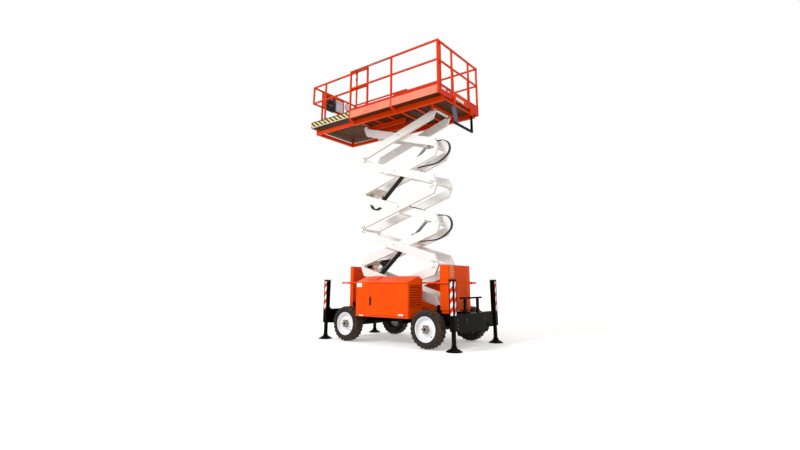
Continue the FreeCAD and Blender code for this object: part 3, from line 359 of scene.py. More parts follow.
def ply_layers(tree, spot):
    """Colour and height of the film-faced ply."""
    grain_way = node(tree, "ShaderNodeMapping", Vector=spot, Scale=(1.0, 9.0, 9.0)).outputs[0]
    grain = ranged(tree, noise(tree, grain_way, 4.0, 8.0, 0.7), 0.3, 0.7)
    brown = blended(tree, grain, tint(100, 56, 26), tint(62, 33, 14))
    damp = ranged(tree, noise(tree, grain_way, 0.9, 6.0, 0.7), 0.46, 0.62)
    brown = blended(tree, times(tree, damp, 0.6), brown, tint(44, 24, 12))
    scuffs = ranged(tree, noise(tree, spot, 6.0, 8.0, 0.75), 0.60, 0.72)
    brown = blended(tree, times(tree, scuffs, 0.4), brown, tint(140, 90, 52))
    return brown, noise(tree, grain_way, 60.0, 3.0)


def ply():
    made, tree, shader, spot, parts = blank("film-faced ply")
    shader.inputs["Specular IOR Level"].default_value = 0.06
    brown, height = ply_layers(tree, spot)
    tree.links.new(brown, shader.inputs["Base Color"])
    tree.links.new(ranged(tree, noise(tree, spot, 14.0), 0.3, 0.7, 0.42, 0.68), shader.inputs["Roughness"])
    grip = node(tree, "ShaderNodeTexVoronoi", Vector=spot, Scale=110.0)
    rough = node(tree, "ShaderNodeBump", Strength=0.3, Distance=0.0012, Height=grip.outputs["Distance"])
    lines = node(tree, "ShaderNodeBump", Strength=0.15, Distance=0.0008, Height=height,
                 Normal=rough.outputs[0])
    tree.links.new(lines.outputs[0], shader.inputs["Normal"])
    return made


cover(ply(), "deck_floor")

# ---- Extension floor ----
# The same ply on a steel edge plate. The outside of the edge is taped with slanting
# yellow and black bars, scuffed where it runs along the deck.


def slanted(tree, along, height, pitch, slope):
    """Share of the second colour in bars that lean across a band."""
    lean = times(tree, height, slope)
    place = node(tree, "ShaderNodeMath", {"operation": "ADD"})
    tree.links.new(along, place.inputs[0])
    tree.links.new(lean, place.inputs[1])
    turn = node(tree, "ShaderNodeMath", {"operation": "FRACT"})
    tree.links.new(times(tree, place.outputs[0], 1.0 / pitch), turn.inputs[0])
    return ranged(tree, turn.outputs[0], 0.49, 0.51)


def hazard_floor():
    made, tree, shader, spot, parts = blank("ply with hazard edge")
    shader.inputs["Specular IOR Level"].default_value = 0.06
    brown, height = ply_layers(tree, spot)
    facing = node(tree, "ShaderNodeSeparateXYZ",
                  Vector=tree.nodes.new("ShaderNodeNewGeometry").outputs["Normal"])
    flat = node(tree, "ShaderNodeMath", {"operation": "ABSOLUTE"})
    tree.links.new(facing.outputs["Z"], flat.inputs[0])
    way = node(tree, "ShaderNodeMath", {"operation": "ADD"})
    tree.links.new(parts.outputs["X"], way.inputs[0])
    tree.links.new(parts.outputs["Y"], way.inputs[1])
    bars = slanted(tree, way.outputs[0], parts.outputs["Z"], 0.126, 1.3)
    tape = blended(tree, bars, tint(234, 214, 120), tint(66, 64, 84))
    scuffs = ranged(tree, noise(tree, spot, 34.0, 8.0, 0.75), 0.56, 0.68)
    tape = blended(tree, times(tree, scuffs, 0.6), tape, tint(196, 186, 150))
    tape = blended(tree, ranged(tree, parts.outputs["Z"], 4.7685, 4.7675), tape, tint(206, 204, 190))
    bare_ply = node(tree, "ShaderNodeMath", {"operation": "MAXIMUM"})
    tree.links.new(ranged(tree, flat.outputs[0], 0.4, 0.6), bare_ply.inputs[0])
    tree.links.new(ranged(tree, parts.outputs["Z"], 4.8775, 4.8785), bare_ply.inputs[1])
    skin = blended(tree, bare_ply.outputs[0], tape, brown)
    tree.links.new(skin, shader.inputs["Base Color"])
    tree.links.new(ranged(tree, noise(tree, spot, 16.0), 0.3, 0.7, 0.40, 0.66), shader.inputs["Roughness"])
    lines = node(tree, "ShaderNodeBump", Strength=0.2, Distance=0.0012, Height=height)
    tree.links.new(lines.outputs[0], shader.inputs["Normal"])
    return made


cover(hazard_floor(), "extension_floor")

# ---- Wheel rims ----
# Pressed steel dishes with rolled lips, sprayed white, with a valve stem through the dish.
# Each rim replaces the flat-sided solid of the same size.
rim_white = paint("rim white", tint(246, 247, 250), tint(238, 239, 242), tint(160, 146, 130),
                  gloss=(0.28, 0.44), dust=0.14, dust_top=0.62, wear=0.4, shine=0.3)
wheel_places = {"left_near": (-0.914, -1), "left_far": (-0.914, 1), "right_near": (1.006, -1),
                "right_far": (1.006, 1)}
wheel_mid_y = 0.760
axle_z = 0.330
rim_line = [(-.097, .195), (-.0985, .206), (-.097, .2150), (-.0925, .2160), (-.089, .212), (-.088, .2052),
            (-.060, .203), (-.045, .192), (.020, .192), (.045, .203), (.088, .2052), (.089, .212),
            (.0925, .2160), (.097, .2150), (.0985, .206), (.096, .1985), (.087, .1945), (.066, .1925),
            (.0585, .187), (.0555, .178), (.0535, .1765), (.0515, .168), (.0495, .1665), (.0475, .154),
            (.0455, .1525), (.0405, .128), (.0395, .121), (.044, .113),
            (.053, .104), (.057, .097), (.057, .048), (.045, .046), (.031, .048), (.031, .120),
            (.030, .178), (.018, .187), (-.045, .187), (-.088, .193)]


def turned(points, count):
    """Closed body about the Y axis from an outline of (along, radius) points."""
    shape = bmesh.new()
    rings = [[shape.verts.new((r * math.sin(2 * math.pi * k / count), y, r * math.cos(2 * math.pi * k / count)))
              for y, r in points] for k in range(count)]
    for here, there in zip(rings, rings[1:] + rings[:1]):
        for i in range(len(points)):
            shape.faces.new((here[i - 1], here[i], there[i], there[i - 1]))
    bmesh.ops.recalc_face_normals(shape, faces=shape.faces)
    return shape


def set_at(shape, place):
    """Moves a body from where it was drawn to its place."""
    bmesh.ops.transform(shape, matrix=place, verts=shape.verts)
    return shape


def merged(shapes):
    """Several bodies in one mesh."""
    whole = bmesh.new()
    for shape in shapes:
        passing = bpy.data.meshes.new("passing")
        shape.to_mesh(passing)
        whole.from_mesh(passing)
        bpy.data.meshes.remove(passing)
        shape.free()
    return whole


def piece(name, shape, material, body=None, corner=32):
    """Object from a body, with smooth faces and sharp corners, riding on a CAD body."""
    if isinstance(shape, bmesh.types.BMesh):
        mesh = bpy.data.meshes.new(name)
        shape.to_mesh(mesh)
        shape.free()
    else:
        mesh = shape
        mesh.name = name
    mesh.materials.clear()
    mesh.materials.append(material)
    mesh.polygons.foreach_set("use_smooth", [True] * len(mesh.polygons))
    mesh.set_sharp_from_angle(angle=math.radians(corner))
    made = bpy.data.objects.new(name, mesh)
    bpy.context.scene.collection.objects.link(made)
    if body:
        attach(made, body)
    return made


def round_bar(radius, start, end, count=16, edge=0.0):
    """Round bar between two points, with its rims bevelled."""
    start, end = Vector(start), Vector(end)
    way = end - start
    shape = bmesh.new()
    bmesh.ops.create_cone(shape, cap_ends=True, segments=count, radius1=radius, radius2=radius,
                          depth=way.length)
    if edge:
        rims = [e for e in shape.edges if any(len(f.verts) > 4 for f in e.link_faces)]
        bmesh.ops.bevel(shape, geom=rims, offset=edge, segments=2, affect="EDGES")
    turn = way.to_track_quat("Z", "Y").to_matrix().to_4x4()
    return set_at(shape, Matrix.Translation((start + end) / 2) @ turn)


def wheel_place(x, row):
    """Turns a wheel's piece so that its outside faces away from the machine."""
    turn = Matrix.Rotation(0 if row > 0 else math.pi, 4, "Z")
    return Matrix.Translation((x, row * wheel_mid_y, axle_z)) @ turn


rim_tree = rim_white.node_tree
rim_spot = node(rim_tree, "ShaderNodeSeparateXYZ",
                Vector=rim_tree.nodes.new("ShaderNodeTexCoord").outputs["Object"])
# The half of each rim towards the machine is painted dark brown: painted shade on the rim's back.
inward = node(rim_tree, "ShaderNodeMath", {"operation": "ABSOLUTE"})
rim_tree.links.new(rim_spot.outputs["Y"], inward.inputs[0])
back_shade_share = ranged(rim_tree, inward.outputs[0], 0.7915, 0.7885)
rim_shader = rim_tree.nodes["Principled BSDF"]
rim_skin = rim_shader.inputs["Base Color"].links[0].from_socket
rim_tree.links.new(blended(rim_tree, back_shade_share, rim_skin, tint(44, 36, 31)), rim_shader.inputs["Base Color"])
for corner, (x, row) in wheel_places.items():
    rim = set_at(turned(rim_line, 72), wheel_place(x, row))
    dish = piece("rim_dish_" + corner, rim, rim_white, "wheel_" + corner, 40)
    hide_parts("rim_" + corner)

# ---- Wheel hubs ----
# Cast hubs with six lobes, painted grey-beige, each lobe with a nut, and a pressed grease cap.
hub_grey = paint("hub grey", tint(158, 152, 138), tint(138, 132, 118), tint(82, 74, 64),
                 gloss=(0.40, 0.6), dust=0.25, dust_top=0.7, wear=0.7)

hub_dark = paint("greasy iron", tint(52, 46, 40), tint(36, 32, 28), tint(96, 88, 78), gloss=(0.3, 0.5),
                 dust=0.1, wear=0.5)


def geometry_tree(name, *sockets):
    """Node group for a modifier, with its named inputs. Gives the group, its input node and output node."""
    tree = bpy.data.node_groups.new(name, "GeometryNodeTree")
    tree.interface.new_socket("Geometry", in_out="INPUT", socket_type="NodeSocketGeometry")
    for label, kind in sockets:
        tree.interface.new_socket(label, in_out="INPUT", socket_type="NodeSocket" + kind)
    tree.interface.new_socket("Geometry", in_out="OUTPUT", socket_type="NodeSocketGeometry")
    return tree, tree.nodes.new("NodeGroupInput"), tree.nodes.new("NodeGroupOutput")


def grown(start, tree, **values):
    """Runs a node group on a mesh and gives its result as a plain mesh."""
    holder = bpy.data.objects.new("holder", start)
    bpy.context.scene.collection.objects.link(holder)
    modifier = holder.modifiers.new("grow", "NODES")
    modifier.node_group = tree
    for item in tree.interface.items_tree:
        if item.in_out == "INPUT" and item.name.replace(" ", "_") in values:
            modifier[item.identifier] = values[item.name.replace(" ", "_")]
    seen = bpy.context.evaluated_depsgraph_get()
    result = bpy.data.meshes.new_from_object(holder.evaluated_get(seen))
    bpy.data.objects.remove(holder)
    return result


# A drawn piece repeated round the Y axis
around, around_in, around_out = geometry_tree(
    "Round the axle", ("Count", "Int"), ("First Angle", "Float"), ("Piece", "Object"), ("Finish", "Material"))
spots = node(around, "GeometryNodePoints", Count=around_in.outputs["Count"])
share = node(around, "ShaderNodeMath", {"operation": "DIVIDE"})
around.links.new(around.nodes.new("GeometryNodeInputIndex").outputs[0], share.inputs[0])
around.links.new(around_in.outputs["Count"], share.inputs[1])
angle = node(around, "ShaderNodeMath", {"operation": "MULTIPLY_ADD"})
around.links.new(share.outputs[0], angle.inputs[0])
angle.inputs[1].default_value = 2 * math.pi
around.links.new(around_in.outputs["First Angle"], angle.inputs[2])
swing = node(around, "ShaderNodeCombineXYZ", Y=angle.outputs[0])
drawn = node(around, "GeometryNodeObjectInfo", Object=around_in.outputs["Piece"])
placed = node(around, "GeometryNodeInstanceOnPoints", Points=spots.outputs[0],
              Instance=drawn.outputs["Geometry"], Rotation=swing.outputs[0])
real = node(around, "GeometryNodeRealizeInstances", Geometry=placed.outputs[0])
faced = node(around, "GeometryNodeSetMaterial", Geometry=real.outputs[0],
             Material=around_in.outputs["Finish"])
around.links.new(faced.outputs[0], around_out.inputs[0])


def repeated(shape, count, material, first=0.0):
    """A body repeated round the Y axis, as one mesh."""
    drawing = bpy.data.meshes.new("drawing")
    shape.to_mesh(drawing)
    shape.free()
    one = bpy.data.objects.new("one", drawing)
    bpy.context.scene.collection.objects.link(one)
    ring = grown(bpy.data.meshes.new("start"), around, Count=count, First_Angle=first, Piece=one,
                 Finish=material)
    bpy.data.objects.remove(one)
    return ring


def from_mesh(mesh):
    shape = bmesh.new()
    shape.from_mesh(mesh)
    return shape


def hub_shape():
    """Lobed hub: a closed outline pushed outwards, with rounded rims."""
    shape = bmesh.new()
    count = 72
    rim = []
    for k in range(count):
        a = 2 * math.pi * k / count
        r = 0.066 + 0.012 * math.cos(6 * a)
        rim.append((r * math.cos(a), r * math.sin(a)))
    levels = [(0.034, 1.0), (0.098, 1.0), (0.104, 0.95), (0.106, 0.88), (0.106, 0.55)]
    rings = [[shape.verts.new((u * s, y, v * s)) for u, v in rim] for y, s in levels]
    for low, high in zip(rings, rings[1:]):
        for k in range(count):
            shape.faces.new((low[k - 1], low[k], high[k], high[k - 1]))
    shape.faces.new(rings[0])
    shape.faces.new(rings[-1])
    bmesh.ops.recalc_face_normals(shape, faces=shape.faces)
    return shape


for corner, (x, row) in wheel_places.items():
    nut = round_bar(0.0095, (0.060, 0.100, 0), (0.060, 0.118, 0), 6, 0.0015)
    nuts = from_mesh(repeated(nut, 6, hub_grey))
    hub = set_at(merged([hub_shape(), nuts]), wheel_place(x, row))
    piece("hub_" + corner, hub, hub_grey, "wheel_" + corner)
    cap = turned([(0.100, 0.0), (0.100, 0.027), (0.112, 0.027), (0.117, 0.022), (0.1188, 0.013),
                  (0.119, 0.0)], 32)
    bmesh.ops.remove_doubles(cap, verts=cap.verts, dist=1e-5)
    stem = round_bar(0.0075, (-0.105, 0.044, -0.118), (-0.107, 0.074, -0.120), 14, 0.0015)
    small = set_at(merged([cap, stem]), wheel_place(x, row))
    piece("hub_cap_" + corner, small, hub_dark, "wheel_" + corner)

# ---- Tyres ----
# Moulded rubber on a square shoulder, with deep slanting lugs that alternate from side to side
# and run down on to the walls. Dry mud stays between the lugs.


def tyre_rubber():
    made, tree, shader, spot, parts = blank("tyre rubber")
    shader.inputs["Specular IOR Level"].default_value = 0.2
    outward = node(tree, "ShaderNodeAttribute", {"attribute_name": "outward"}).outputs["Fac"]
    black = blended(tree, ranged(tree, noise(tree, spot, 5.0), 0.3, 0.7), tint(44, 38, 35), tint(32, 28, 26))
    mud = ranged(tree, noise(tree, spot, 18.0, 8.0, 0.7), 0.36, 0.66)
    tread = ranged(tree, outward, 0.285, 0.315, 0.12, 0.75)
    black = blended(tree, times(tree, mud, tread), black, tint(112, 88, 70))
    tree.links.new(black, shader.inputs["Base Color"])
    tree.links.new(ranged(tree, noise(tree, spot, 30.0), 0.3, 0.7, 0.62, 0.86), shader.inputs["Roughness"])
    pits = node(tree, "ShaderNodeBump", Strength=0.35, Distance=0.0012, Height=noise(tree, spot, 190.0, 4.0))
    tree.links.new(pits.outputs[0], shader.inputs["Normal"])
    return made


rubber = tyre_rubber()
tyre_half = [(0.0, .3175), (.050, .3170), (.080, .3130), (.098, .3030), (.108, .2880), (.1125, .2700),
             (.1135, .2560), (.1120, .2540), (.1120, .2500), (.1130, .2480), (.1105, .2380), (.1060, .2270),
             (.1030, .2200), (.0995, .2185), (.0930, .2180), (.0885, .2068), (.040, .2062)]
tyre_line = tyre_half + [(-y, r) for y, r in reversed(tyre_half[1:])]


def lug_shape(row):
    """One lug, from the middle of the tread over the shoulder and on to the wall."""
    stations = [(.004, .000, .3295, .3000, .0125), (.040, .060, .3290, .3000, .0130),
                (.078, .118, .3268, .2980, .0140), (.099, .142, .3180, .2880, .0150),
                (.1130, .150, .2980, .2760, .0145), (.1148, .153, .2740, .2650, .0110)]
    insets = [0, 0, 0, 0, .016, .012]
    shape = bmesh.new()
    rings = []
    for (y, turn, top, base, half), inset in zip(stations, insets):
        ring = []
        for side, radius, across, pull in ((-1, base, half * 1.25, inset), (-1, top, half, 0.0),
                                           (1, top, half, 0.0), (1, base, half * 1.25, inset)):
            a = row * turn + side * across / radius
            ring.append(shape.verts.new((radius * math.sin(a), row * (y - pull), radius * math.cos(a))))
        rings.append(ring)
    for low, high in zip(rings, rings[1:]):
        for k in range(4):
            shape.faces.new((low[k - 1], low[k], high[k], high[k - 1]))
    shape.faces.new(rings[0])
    shape.faces.new(rings[-1])
    bmesh.ops.recalc_face_normals(shape, faces=shape.faces)
    bmesh.ops.bevel(shape, geom=shape.edges[:], offset=0.0022, segments=1, affect="EDGES")
    return shape


for corner, (x, row) in wheel_places.items():
    lugs = [from_mesh(repeated(lug_shape(side), 24, rubber, math.pi / 24 * (side > 0))) for side in (-1, 1)]
    tyre = set_at(merged([turned(tyre_line, 96)] + lugs), wheel_place(x, row))
    body = piece("tyre_lugged_" + corner, tyre, rubber, "wheel_" + corner, 50)
    # How far each point lies from the axle, so that the mud stays on the tread
    outward = body.data.attributes.new("outward", "FLOAT", "POINT")
    outward.data.foreach_set("value", [math.hypot(v.co.x - x, v.co.z - axle_z) for v in body.data.vertices])
    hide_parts("tyre_" + corner)

# ---- Outrigger legs ----
# Square steel legs slide in the sleeves between wear pads. Each stands on a spun steel foot,
# and the foot's dished skirt turns on a ball under the leg.


def block(x, y, z, edge=0.0, segments=2):
    """Block between low and high values, with its edges bevelled."""
    shape = bmesh.new()
    bmesh.ops.create_cube(shape, size=1.0)
    size = Matrix.Diagonal((x[1] - x[0], y[1] - y[0], z[1] - z[0], 1))
    set_at(shape, Matrix.Translation(((x[0] + x[1]) / 2, (y[0] + y[1]) / 2, (z[0] + z[1]) / 2)) @ size)
    if edge:
        bmesh.ops.bevel(shape, geom=shape.edges[:], offset=edge, segments=segments, affect="EDGES")
    return shape


sleeve_x, sleeve_y, sleeve_half = 1.534, 0.777, 0.0475
leg_half, sleeve_bore = 0.030, 0.0393
foot_line = [(0.000, 0.0), (0.000, 0.126), (0.003, 0.135), (0.009, 0.1395), (0.013, 0.138), (0.017, 0.128),
             (0.040, 0.088), (0.062, 0.052), (0.069, 0.046), (0.075, 0.044), (0.079, 0.049), (0.085, 0.0505),
             (0.091, 0.048), (0.0935, 0.044), (0.0935, 0.0)]
upright = Matrix.Rotation(math.pi / 2, 4, "X")
pads = []
for side, across in ((-1, "left"), (1, "right")):
    for row, depth in ((-1, "near"), (1, "far")):
        x, y = side * sleeve_x, row * sleeve_y
        foot = turned(foot_line, 48)
        bmesh.ops.remove_doubles(foot, verts=foot.verts, dist=1e-5)
        set_at(foot, Matrix.Translation((x, y, 0)) @ upright)
        shaft = block((x - leg_half, x + leg_half), (y - leg_half, y + leg_half), (0.0900, 0.900), 0.005)
        pin = round_bar(0.011, (x - 0.057, y, 0.081), (x + 0.057, y, 0.081), 20, 0.002)
        corner = "leg_%s_%s" % (across, depth)
        leg = piece("outrigger_" + corner, merged([foot, shaft, pin]), chassis_black, corner)
        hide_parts(corner)
        ring = (sleeve_bore + leg_half + 0.002) / 2
        thick = (sleeve_bore - leg_half - 0.002) / 2
        for step in (-1, 1):
            pads.append(block(sorted((x + step * (ring - thick), x + step * (ring + thick))),
                              (y - sleeve_bore, y + sleeve_bore), (0.318, 0.400), 0.001, 1))
            pads.append(block((x - ring + thick, x + ring - thick),
                              sorted((y + step * (ring - thick), y + step * (ring + thick))),
                              (0.318, 0.400), 0.001, 1))
piece("sleeve_wear_pads", merged(pads), hub_dark, "chassis")

# ---- Aprons under the end beams ----
# Folded black plates close the arches of the end beams, with a rolled lower lip and a stiffening bracket.
aprons = []
for side in (-1, 1):
    face = sorted((side * 1.5140, side * 1.5200))
    lip = sorted((side * 1.4600, side * 1.5200))
    aprons.append(block(face, (-0.5550, 0.5550), (0.272, 0.470), 0.002))
    aprons.append(block(lip, (-0.5550, 0.5550), (0.266, 0.276), 0.003))
    for y in (-0.40, 0.0, 0.40):
        aprons.append(block(sorted((side * 1.4700, side * 1.5150)), (y - 0.004, y + 0.004), (0.275, 0.440), 0.001))
    aprons.append(block(sorted((side * 1.4500, side * 1.5180)), (0.500, 0.510), (0.228, 0.480), 0.002))
    aprons.append(block(sorted((side * 1.4500, side * 1.5180)), (-0.510, -0.500), (0.228, 0.480), 0.002))
piece("end_beam_aprons", merged(aprons), chassis_black, "chassis")

# ---- Entry step ----
# A tread bar on two square posts, welded up from steel tube and bolted to the right-hand end beam.
# It is sprayed black with the chassis.
step = [block((1.440, 1.480), (-0.392, 0.392), (0.832, 0.864), 0.004)]
step += [block((1.443, 1.479), (y - 0.033, y + 0.033), (0.585, 0.836), 0.004) for y in (-0.235, 0.235)]
tread_bar = piece("tread_bar", merged(step), chassis_black, "chassis")
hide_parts("entry_step")

# ---- Reflective bars on the outriggers ----
# Adhesive film with slanting red and white bars, in strips down the outward faces of the sleeves.


def reflective(along):
    made, tree, shader, spot, parts = blank("red and white film " + along)
    shader.inputs["Specular IOR Level"].default_value = 0.12
    bars = slanted(tree, parts.outputs["Z"], parts.outputs[along], 0.165, -1.0)
    film = blended(tree, bars, tint(242, 242, 240), tint(232, 52, 8))
    cells = node(tree, "ShaderNodeTexVoronoi", Vector=spot, Scale=260.0)
    film = blended(tree, ranged(tree, cells.outputs["Distance"], 0.0, 0.6, 0.10, 0.0), film, tint(90, 90, 96))
    peeled = ranged(tree, noise(tree, spot, 46.0, 8.0, 0.75), 0.64, 0.70)
    film = blended(tree, peeled, film, tint(40, 38, 38))
    tree.links.new(film, shader.inputs["Base Color"])
    tree.links.new(ranged(tree, noise(tree, spot, 20.0), 0.3, 0.7, 0.22, 0.42), shader.inputs["Roughness"])
    beads = node(tree, "ShaderNodeBump", Strength=0.1, Distance=0.0004, Height=cells.outputs["Distance"])
    tree.links.new(beads.outputs[0], shader.inputs["Normal"])
    return made


film_z = (0.578, 1.140)
film_thick = 0.0012
strips = {"X": [], "Y": []}
for side in (-1, 1):
    for row in (-1, 1):
        x, y = side * sleeve_x, row * sleeve_y
        face = sorted((y + row * (sleeve_half + 0.0001), y + row * (sleeve_half + film_thick)))
        strips["X"].append(block((x - 0.025, x + 0.025), face, film_z, 0.0004, 1))
        face = sorted((x + side * (sleeve_half + 0.0001), x + side * (sleeve_half + film_thick)))
        strips["Y"].append(block(face, (y - 0.023, y + 0.023), film_z, 0.0004, 1))
for along, shapes in strips.items():
    piece("sleeve_film_" + along.lower(), merged(shapes), reflective(along), "chassis")

# ---- Hoses round the guides ----
# Three rubber hoses run from a block on one arm, round the guide and on to a block on the arm above.
# They curve round the joint between the two arms, and each end has a crimped steel ferrule.


def hose_rubber():
    made, tree, shader, spot, parts = blank("hose rubber")
    black = blended(tree, ranged(tree, noise(tree, spot, 14.0), 0.3, 0.7), tint(34, 34, 36), tint(50, 49, 50))
    tree.links.new(black, shader.inputs["Base Color"])
    tree.links.new(ranged(tree, noise(tree, spot, 40.0), 0.3, 0.7, 0.40, 0.60), shader.inputs["Roughness"])
    weave = node(tree, "ShaderNodeTexVoronoi", Vector=spot, Scale=420.0)
    wrap = node(tree, "ShaderNodeBump", Strength=0.25, Distance=0.0006, Height=weave.outputs["Distance"])
    tree.links.new(wrap.outputs[0], shader.inputs["Normal"])
    return made


hose_black = hose_rubber()
beam_angle = math.asin(0.788 / 2.088) - math.asin(0.178 / 2.088)
along_c, along_s = math.cos(beam_angle), math.sin(beam_angle)
half_run = math.sqrt(2.088 ** 2 / 4 - 0.089 ** 2)
scissor_x = 0.906 - math.sqrt(2.088 ** 2 - 0.788 ** 2) / 2


def on_arm(pair, lean, along, across, y=0.0):
    """Point given along and across the beam of an arm. lean is 1 where the arm rises to +X."""
    middle = 0.667 + (pair - 0.5) * 0.788
    return Vector((scissor_x + lean * (along * along_c - across * along_s), y,
                   middle + along * along_s + across * along_c))


def flexible(name, lines, radius, material, resolution=10):
    """Smooth tubes along control points, as one mesh."""
    curve = bpy.data.curves.new(name, "CURVE")
    curve.dimensions = "3D"
    curve.bevel_depth = radius
    curve.bevel_resolution = 3
    curve.use_fill_caps = True
    for line in lines:
        spline = curve.splines.new("NURBS")
        spline.points.add(len(line) - 1)
        for point, place in zip(spline.points, line):
            point.co = (*place, 1)
        spline.order_u = 3
        spline.use_endpoint_u = True
        spline.resolution_u = resolution
    holder = bpy.data.objects.new(name, curve)
    bpy.context.scene.collection.objects.link(holder)
    seen = bpy.context.evaluated_depsgraph_get()
    mesh = bpy.data.meshes.new_from_object(holder.evaluated_get(seen))
    bpy.data.objects.remove(holder)
    return piece(name, mesh, material, None, 50)


hose_rows = (-0.022, 0.0, 0.022)
wrap_radius = 0.1884
wrap_step = math.radians(110 / 3)
ferrule_steel = paint("zinc plate", tint(178, 176, 168), tint(150, 146, 136), tint(92, 84, 74),
                      gloss=(0.28, 0.44), dust=0.0, wear=0.6)
ferrule_steel.node_tree.nodes["Principled BSDF"].inputs["Metallic"].default_value = 0.85


def shifted(line, y):
    return [point + Vector((0, y, 0)) for point in line]


for pair in (2, 4):
    pin = on_arm(pair, 1, half_run, 0.089)
    wrap = [pin + Vector((math.cos(a), 0, math.sin(a))) * (wrap_radius / math.cos(wrap_step / 2))
            for a in [math.radians(-42) + wrap_step * k for k in range(4)]]
    low_end, low_out = on_arm(pair, 1, 0.3532, -0.030), on_arm(pair, 1, 0.413, -0.030)
    high_out, high_end = on_arm(pair + 1, -1, -0.820, 0.055), on_arm(pair + 1, -1, -0.7602, 0.055)
    route = [low_end, low_out, pin + Vector((-0.300, 0, -0.302)), pin + Vector((-0.080, 0, -0.275))]
    route += wrap + [high_out, high_end]
    hoses = flexible("hoses_round_guide_%d" % pair, [shifted(route, y) for y in hose_rows], 0.010, hose_black)
    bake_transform(hoses)
    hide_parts("hoses_%d" % pair)
    for number, end, away in ((pair, low_end, low_out), (pair + 1, high_end, high_out)):
        way = (away - end).normalized()
        shapes = []
        for y in hose_rows:
            foot = end + Vector((0, y, 0))
            shapes.append(round_bar(0.0105, foot - way * 0.0001, foot + way * 0.012, 6, 0.0012))
            shapes.append(round_bar(0.0108, foot + way * 0.012, foot + way * 0.040, 20, 0.0015))
        piece("hose_ferrules_%d" % number, merged(shapes), ferrule_steel, "inner_arm_%d" % number)

# ---- Bolts ----
# Oiled steel hexagon heads on washers, wherever covers, caps and pin plates are held.

bolt_tree, bolt_in, bolt_out = geometry_tree("Bolt heads", ("Head Radius", "Float"), ("Finish", "Material"))
facing_way = node(bolt_tree, "GeometryNodeInputNamedAttribute", {"data_type": "FLOAT_VECTOR"}, Name="facing")
turned_way = node(bolt_tree, "FunctionNodeAlignRotationToVector", {"axis": "Z"}, Vector=facing_way.outputs[0])
head_high = node(bolt_tree, "ShaderNodeMath", {"operation": "MULTIPLY"})
bolt_tree.links.new(bolt_in.outputs["Head Radius"], head_high.inputs[0])
head_high.inputs[1].default_value = 0.9
washer_wide = node(bolt_tree, "ShaderNodeMath", {"operation": "MULTIPLY"})
bolt_tree.links.new(bolt_in.outputs["Head Radius"], washer_wide.inputs[0])
washer_wide.inputs[1].default_value = 1.45
washer_high = node(bolt_tree, "ShaderNodeMath", {"operation": "MULTIPLY"})
bolt_tree.links.new(bolt_in.outputs["Head Radius"], washer_high.inputs[0])
washer_high.inputs[1].default_value = 0.3
head = node(bolt_tree, "GeometryNodeMeshCylinder", Vertices=6, Radius=bolt_in.outputs["Head Radius"],
            Depth=head_high.outputs[0])
washer = node(bolt_tree, "GeometryNodeMeshCylinder", Vertices=20, Radius=washer_wide.outputs[0],
              Depth=washer_high.outputs[0])
lift_up = node(bolt_tree, "ShaderNodeMath", {"operation": "MULTIPLY"})
bolt_tree.links.new(bolt_in.outputs["Head Radius"], lift_up.inputs[0])
lift_up.inputs[1].default_value = 0.6
raised = node(bolt_tree, "ShaderNodeCombineXYZ", Z=lift_up.outputs[0])
head_up = node(bolt_tree, "GeometryNodeTransform", Geometry=head.outputs["Mesh"], Translation=raised.outputs[0])
both_parts = node(bolt_tree, "GeometryNodeJoinGeometry")
bolt_tree.links.new(head_up.outputs[0], both_parts.inputs[0])
bolt_tree.links.new(washer.outputs["Mesh"], both_parts.inputs[0])
bolt_places = node(bolt_tree, "GeometryNodeInstanceOnPoints", Points=bolt_in.outputs["Geometry"],
                   Instance=both_parts.outputs[0], Rotation=turned_way.outputs[0])
bolt_real = node(bolt_tree, "GeometryNodeRealizeInstances", Geometry=bolt_places.outputs[0])
bolt_faced = node(bolt_tree, "GeometryNodeSetMaterial", Geometry=bolt_real.outputs[0],
                  Material=bolt_in.outputs["Finish"])
bolt_tree.links.new(bolt_faced.outputs[0], bolt_out.inputs[0])
bolt_dark = paint("oiled steel", tint(118, 98, 70), tint(88, 72, 52), tint(160, 148, 124),
                  gloss=(0.34, 0.5), dust=0.2, wear=0.6)
bolt_dark.node_tree.nodes["Principled BSDF"].inputs["Metallic"].default_value = 0.7


def bolts(name, body, spots, radius, material):
    """Bolt heads at (place, facing) spots, as one piece."""
    start = bpy.data.meshes.new("spots")
    start.from_pydata([tuple(place) for place, _ in spots], [], [])
    way = start.attributes.new("facing", "FLOAT_VECTOR", "POINT")
    way.data.foreach_set("vector", [c for _, facing in spots for c in facing])
    heads = grown(start, bolt_tree, Head_Radius=radius, Finish=material)
    return piece(name, heads, material, body)


# Two beside each end pin, one at each middle pin, on the outside of the outer arms
stack_half = 0.311
for pair in range(1, 6):
    outer_lean = 1 if pair % 2 else -1
    spots = []
    for row in (-1, 1):
        y = row * stack_half
        for side in (-1, 1):
            for step in (0.050, 0.105):
                spots.append((on_arm(pair, outer_lean, side * (half_run - step), side * 0.055, y), (0, row, 0)))
        spots.append((on_arm(pair, outer_lean, 0.058, 0.0, y), (0, row, 0)))
    bolts("pin_bolts_%d" % pair, "outer_arm_%d" % pair, spots, 0.0085, bolt_dark)

spots = []
for side in (-1, 1):
    for row in (-1, 1):
        for dx in (-0.035, 0.035):
            for dy in (-0.035, 0.035):
                spots.append(((side * sleeve_x + dx, row * sleeve_y + dy, 1.1712), (0, 0, 1)))
        for z in (0.455, 0.493):
            spots.append(((side * 1.5405, row * 0.347, z), (side, 0, 0)))
        for z in (0.36, 0.42, 0.50):
            spots.append(((side * 1.5405, row * 0.640, z), (side, 0, 0)))
bolts("frame_bolts", "chassis", spots, 0.0095, bolt_dark)

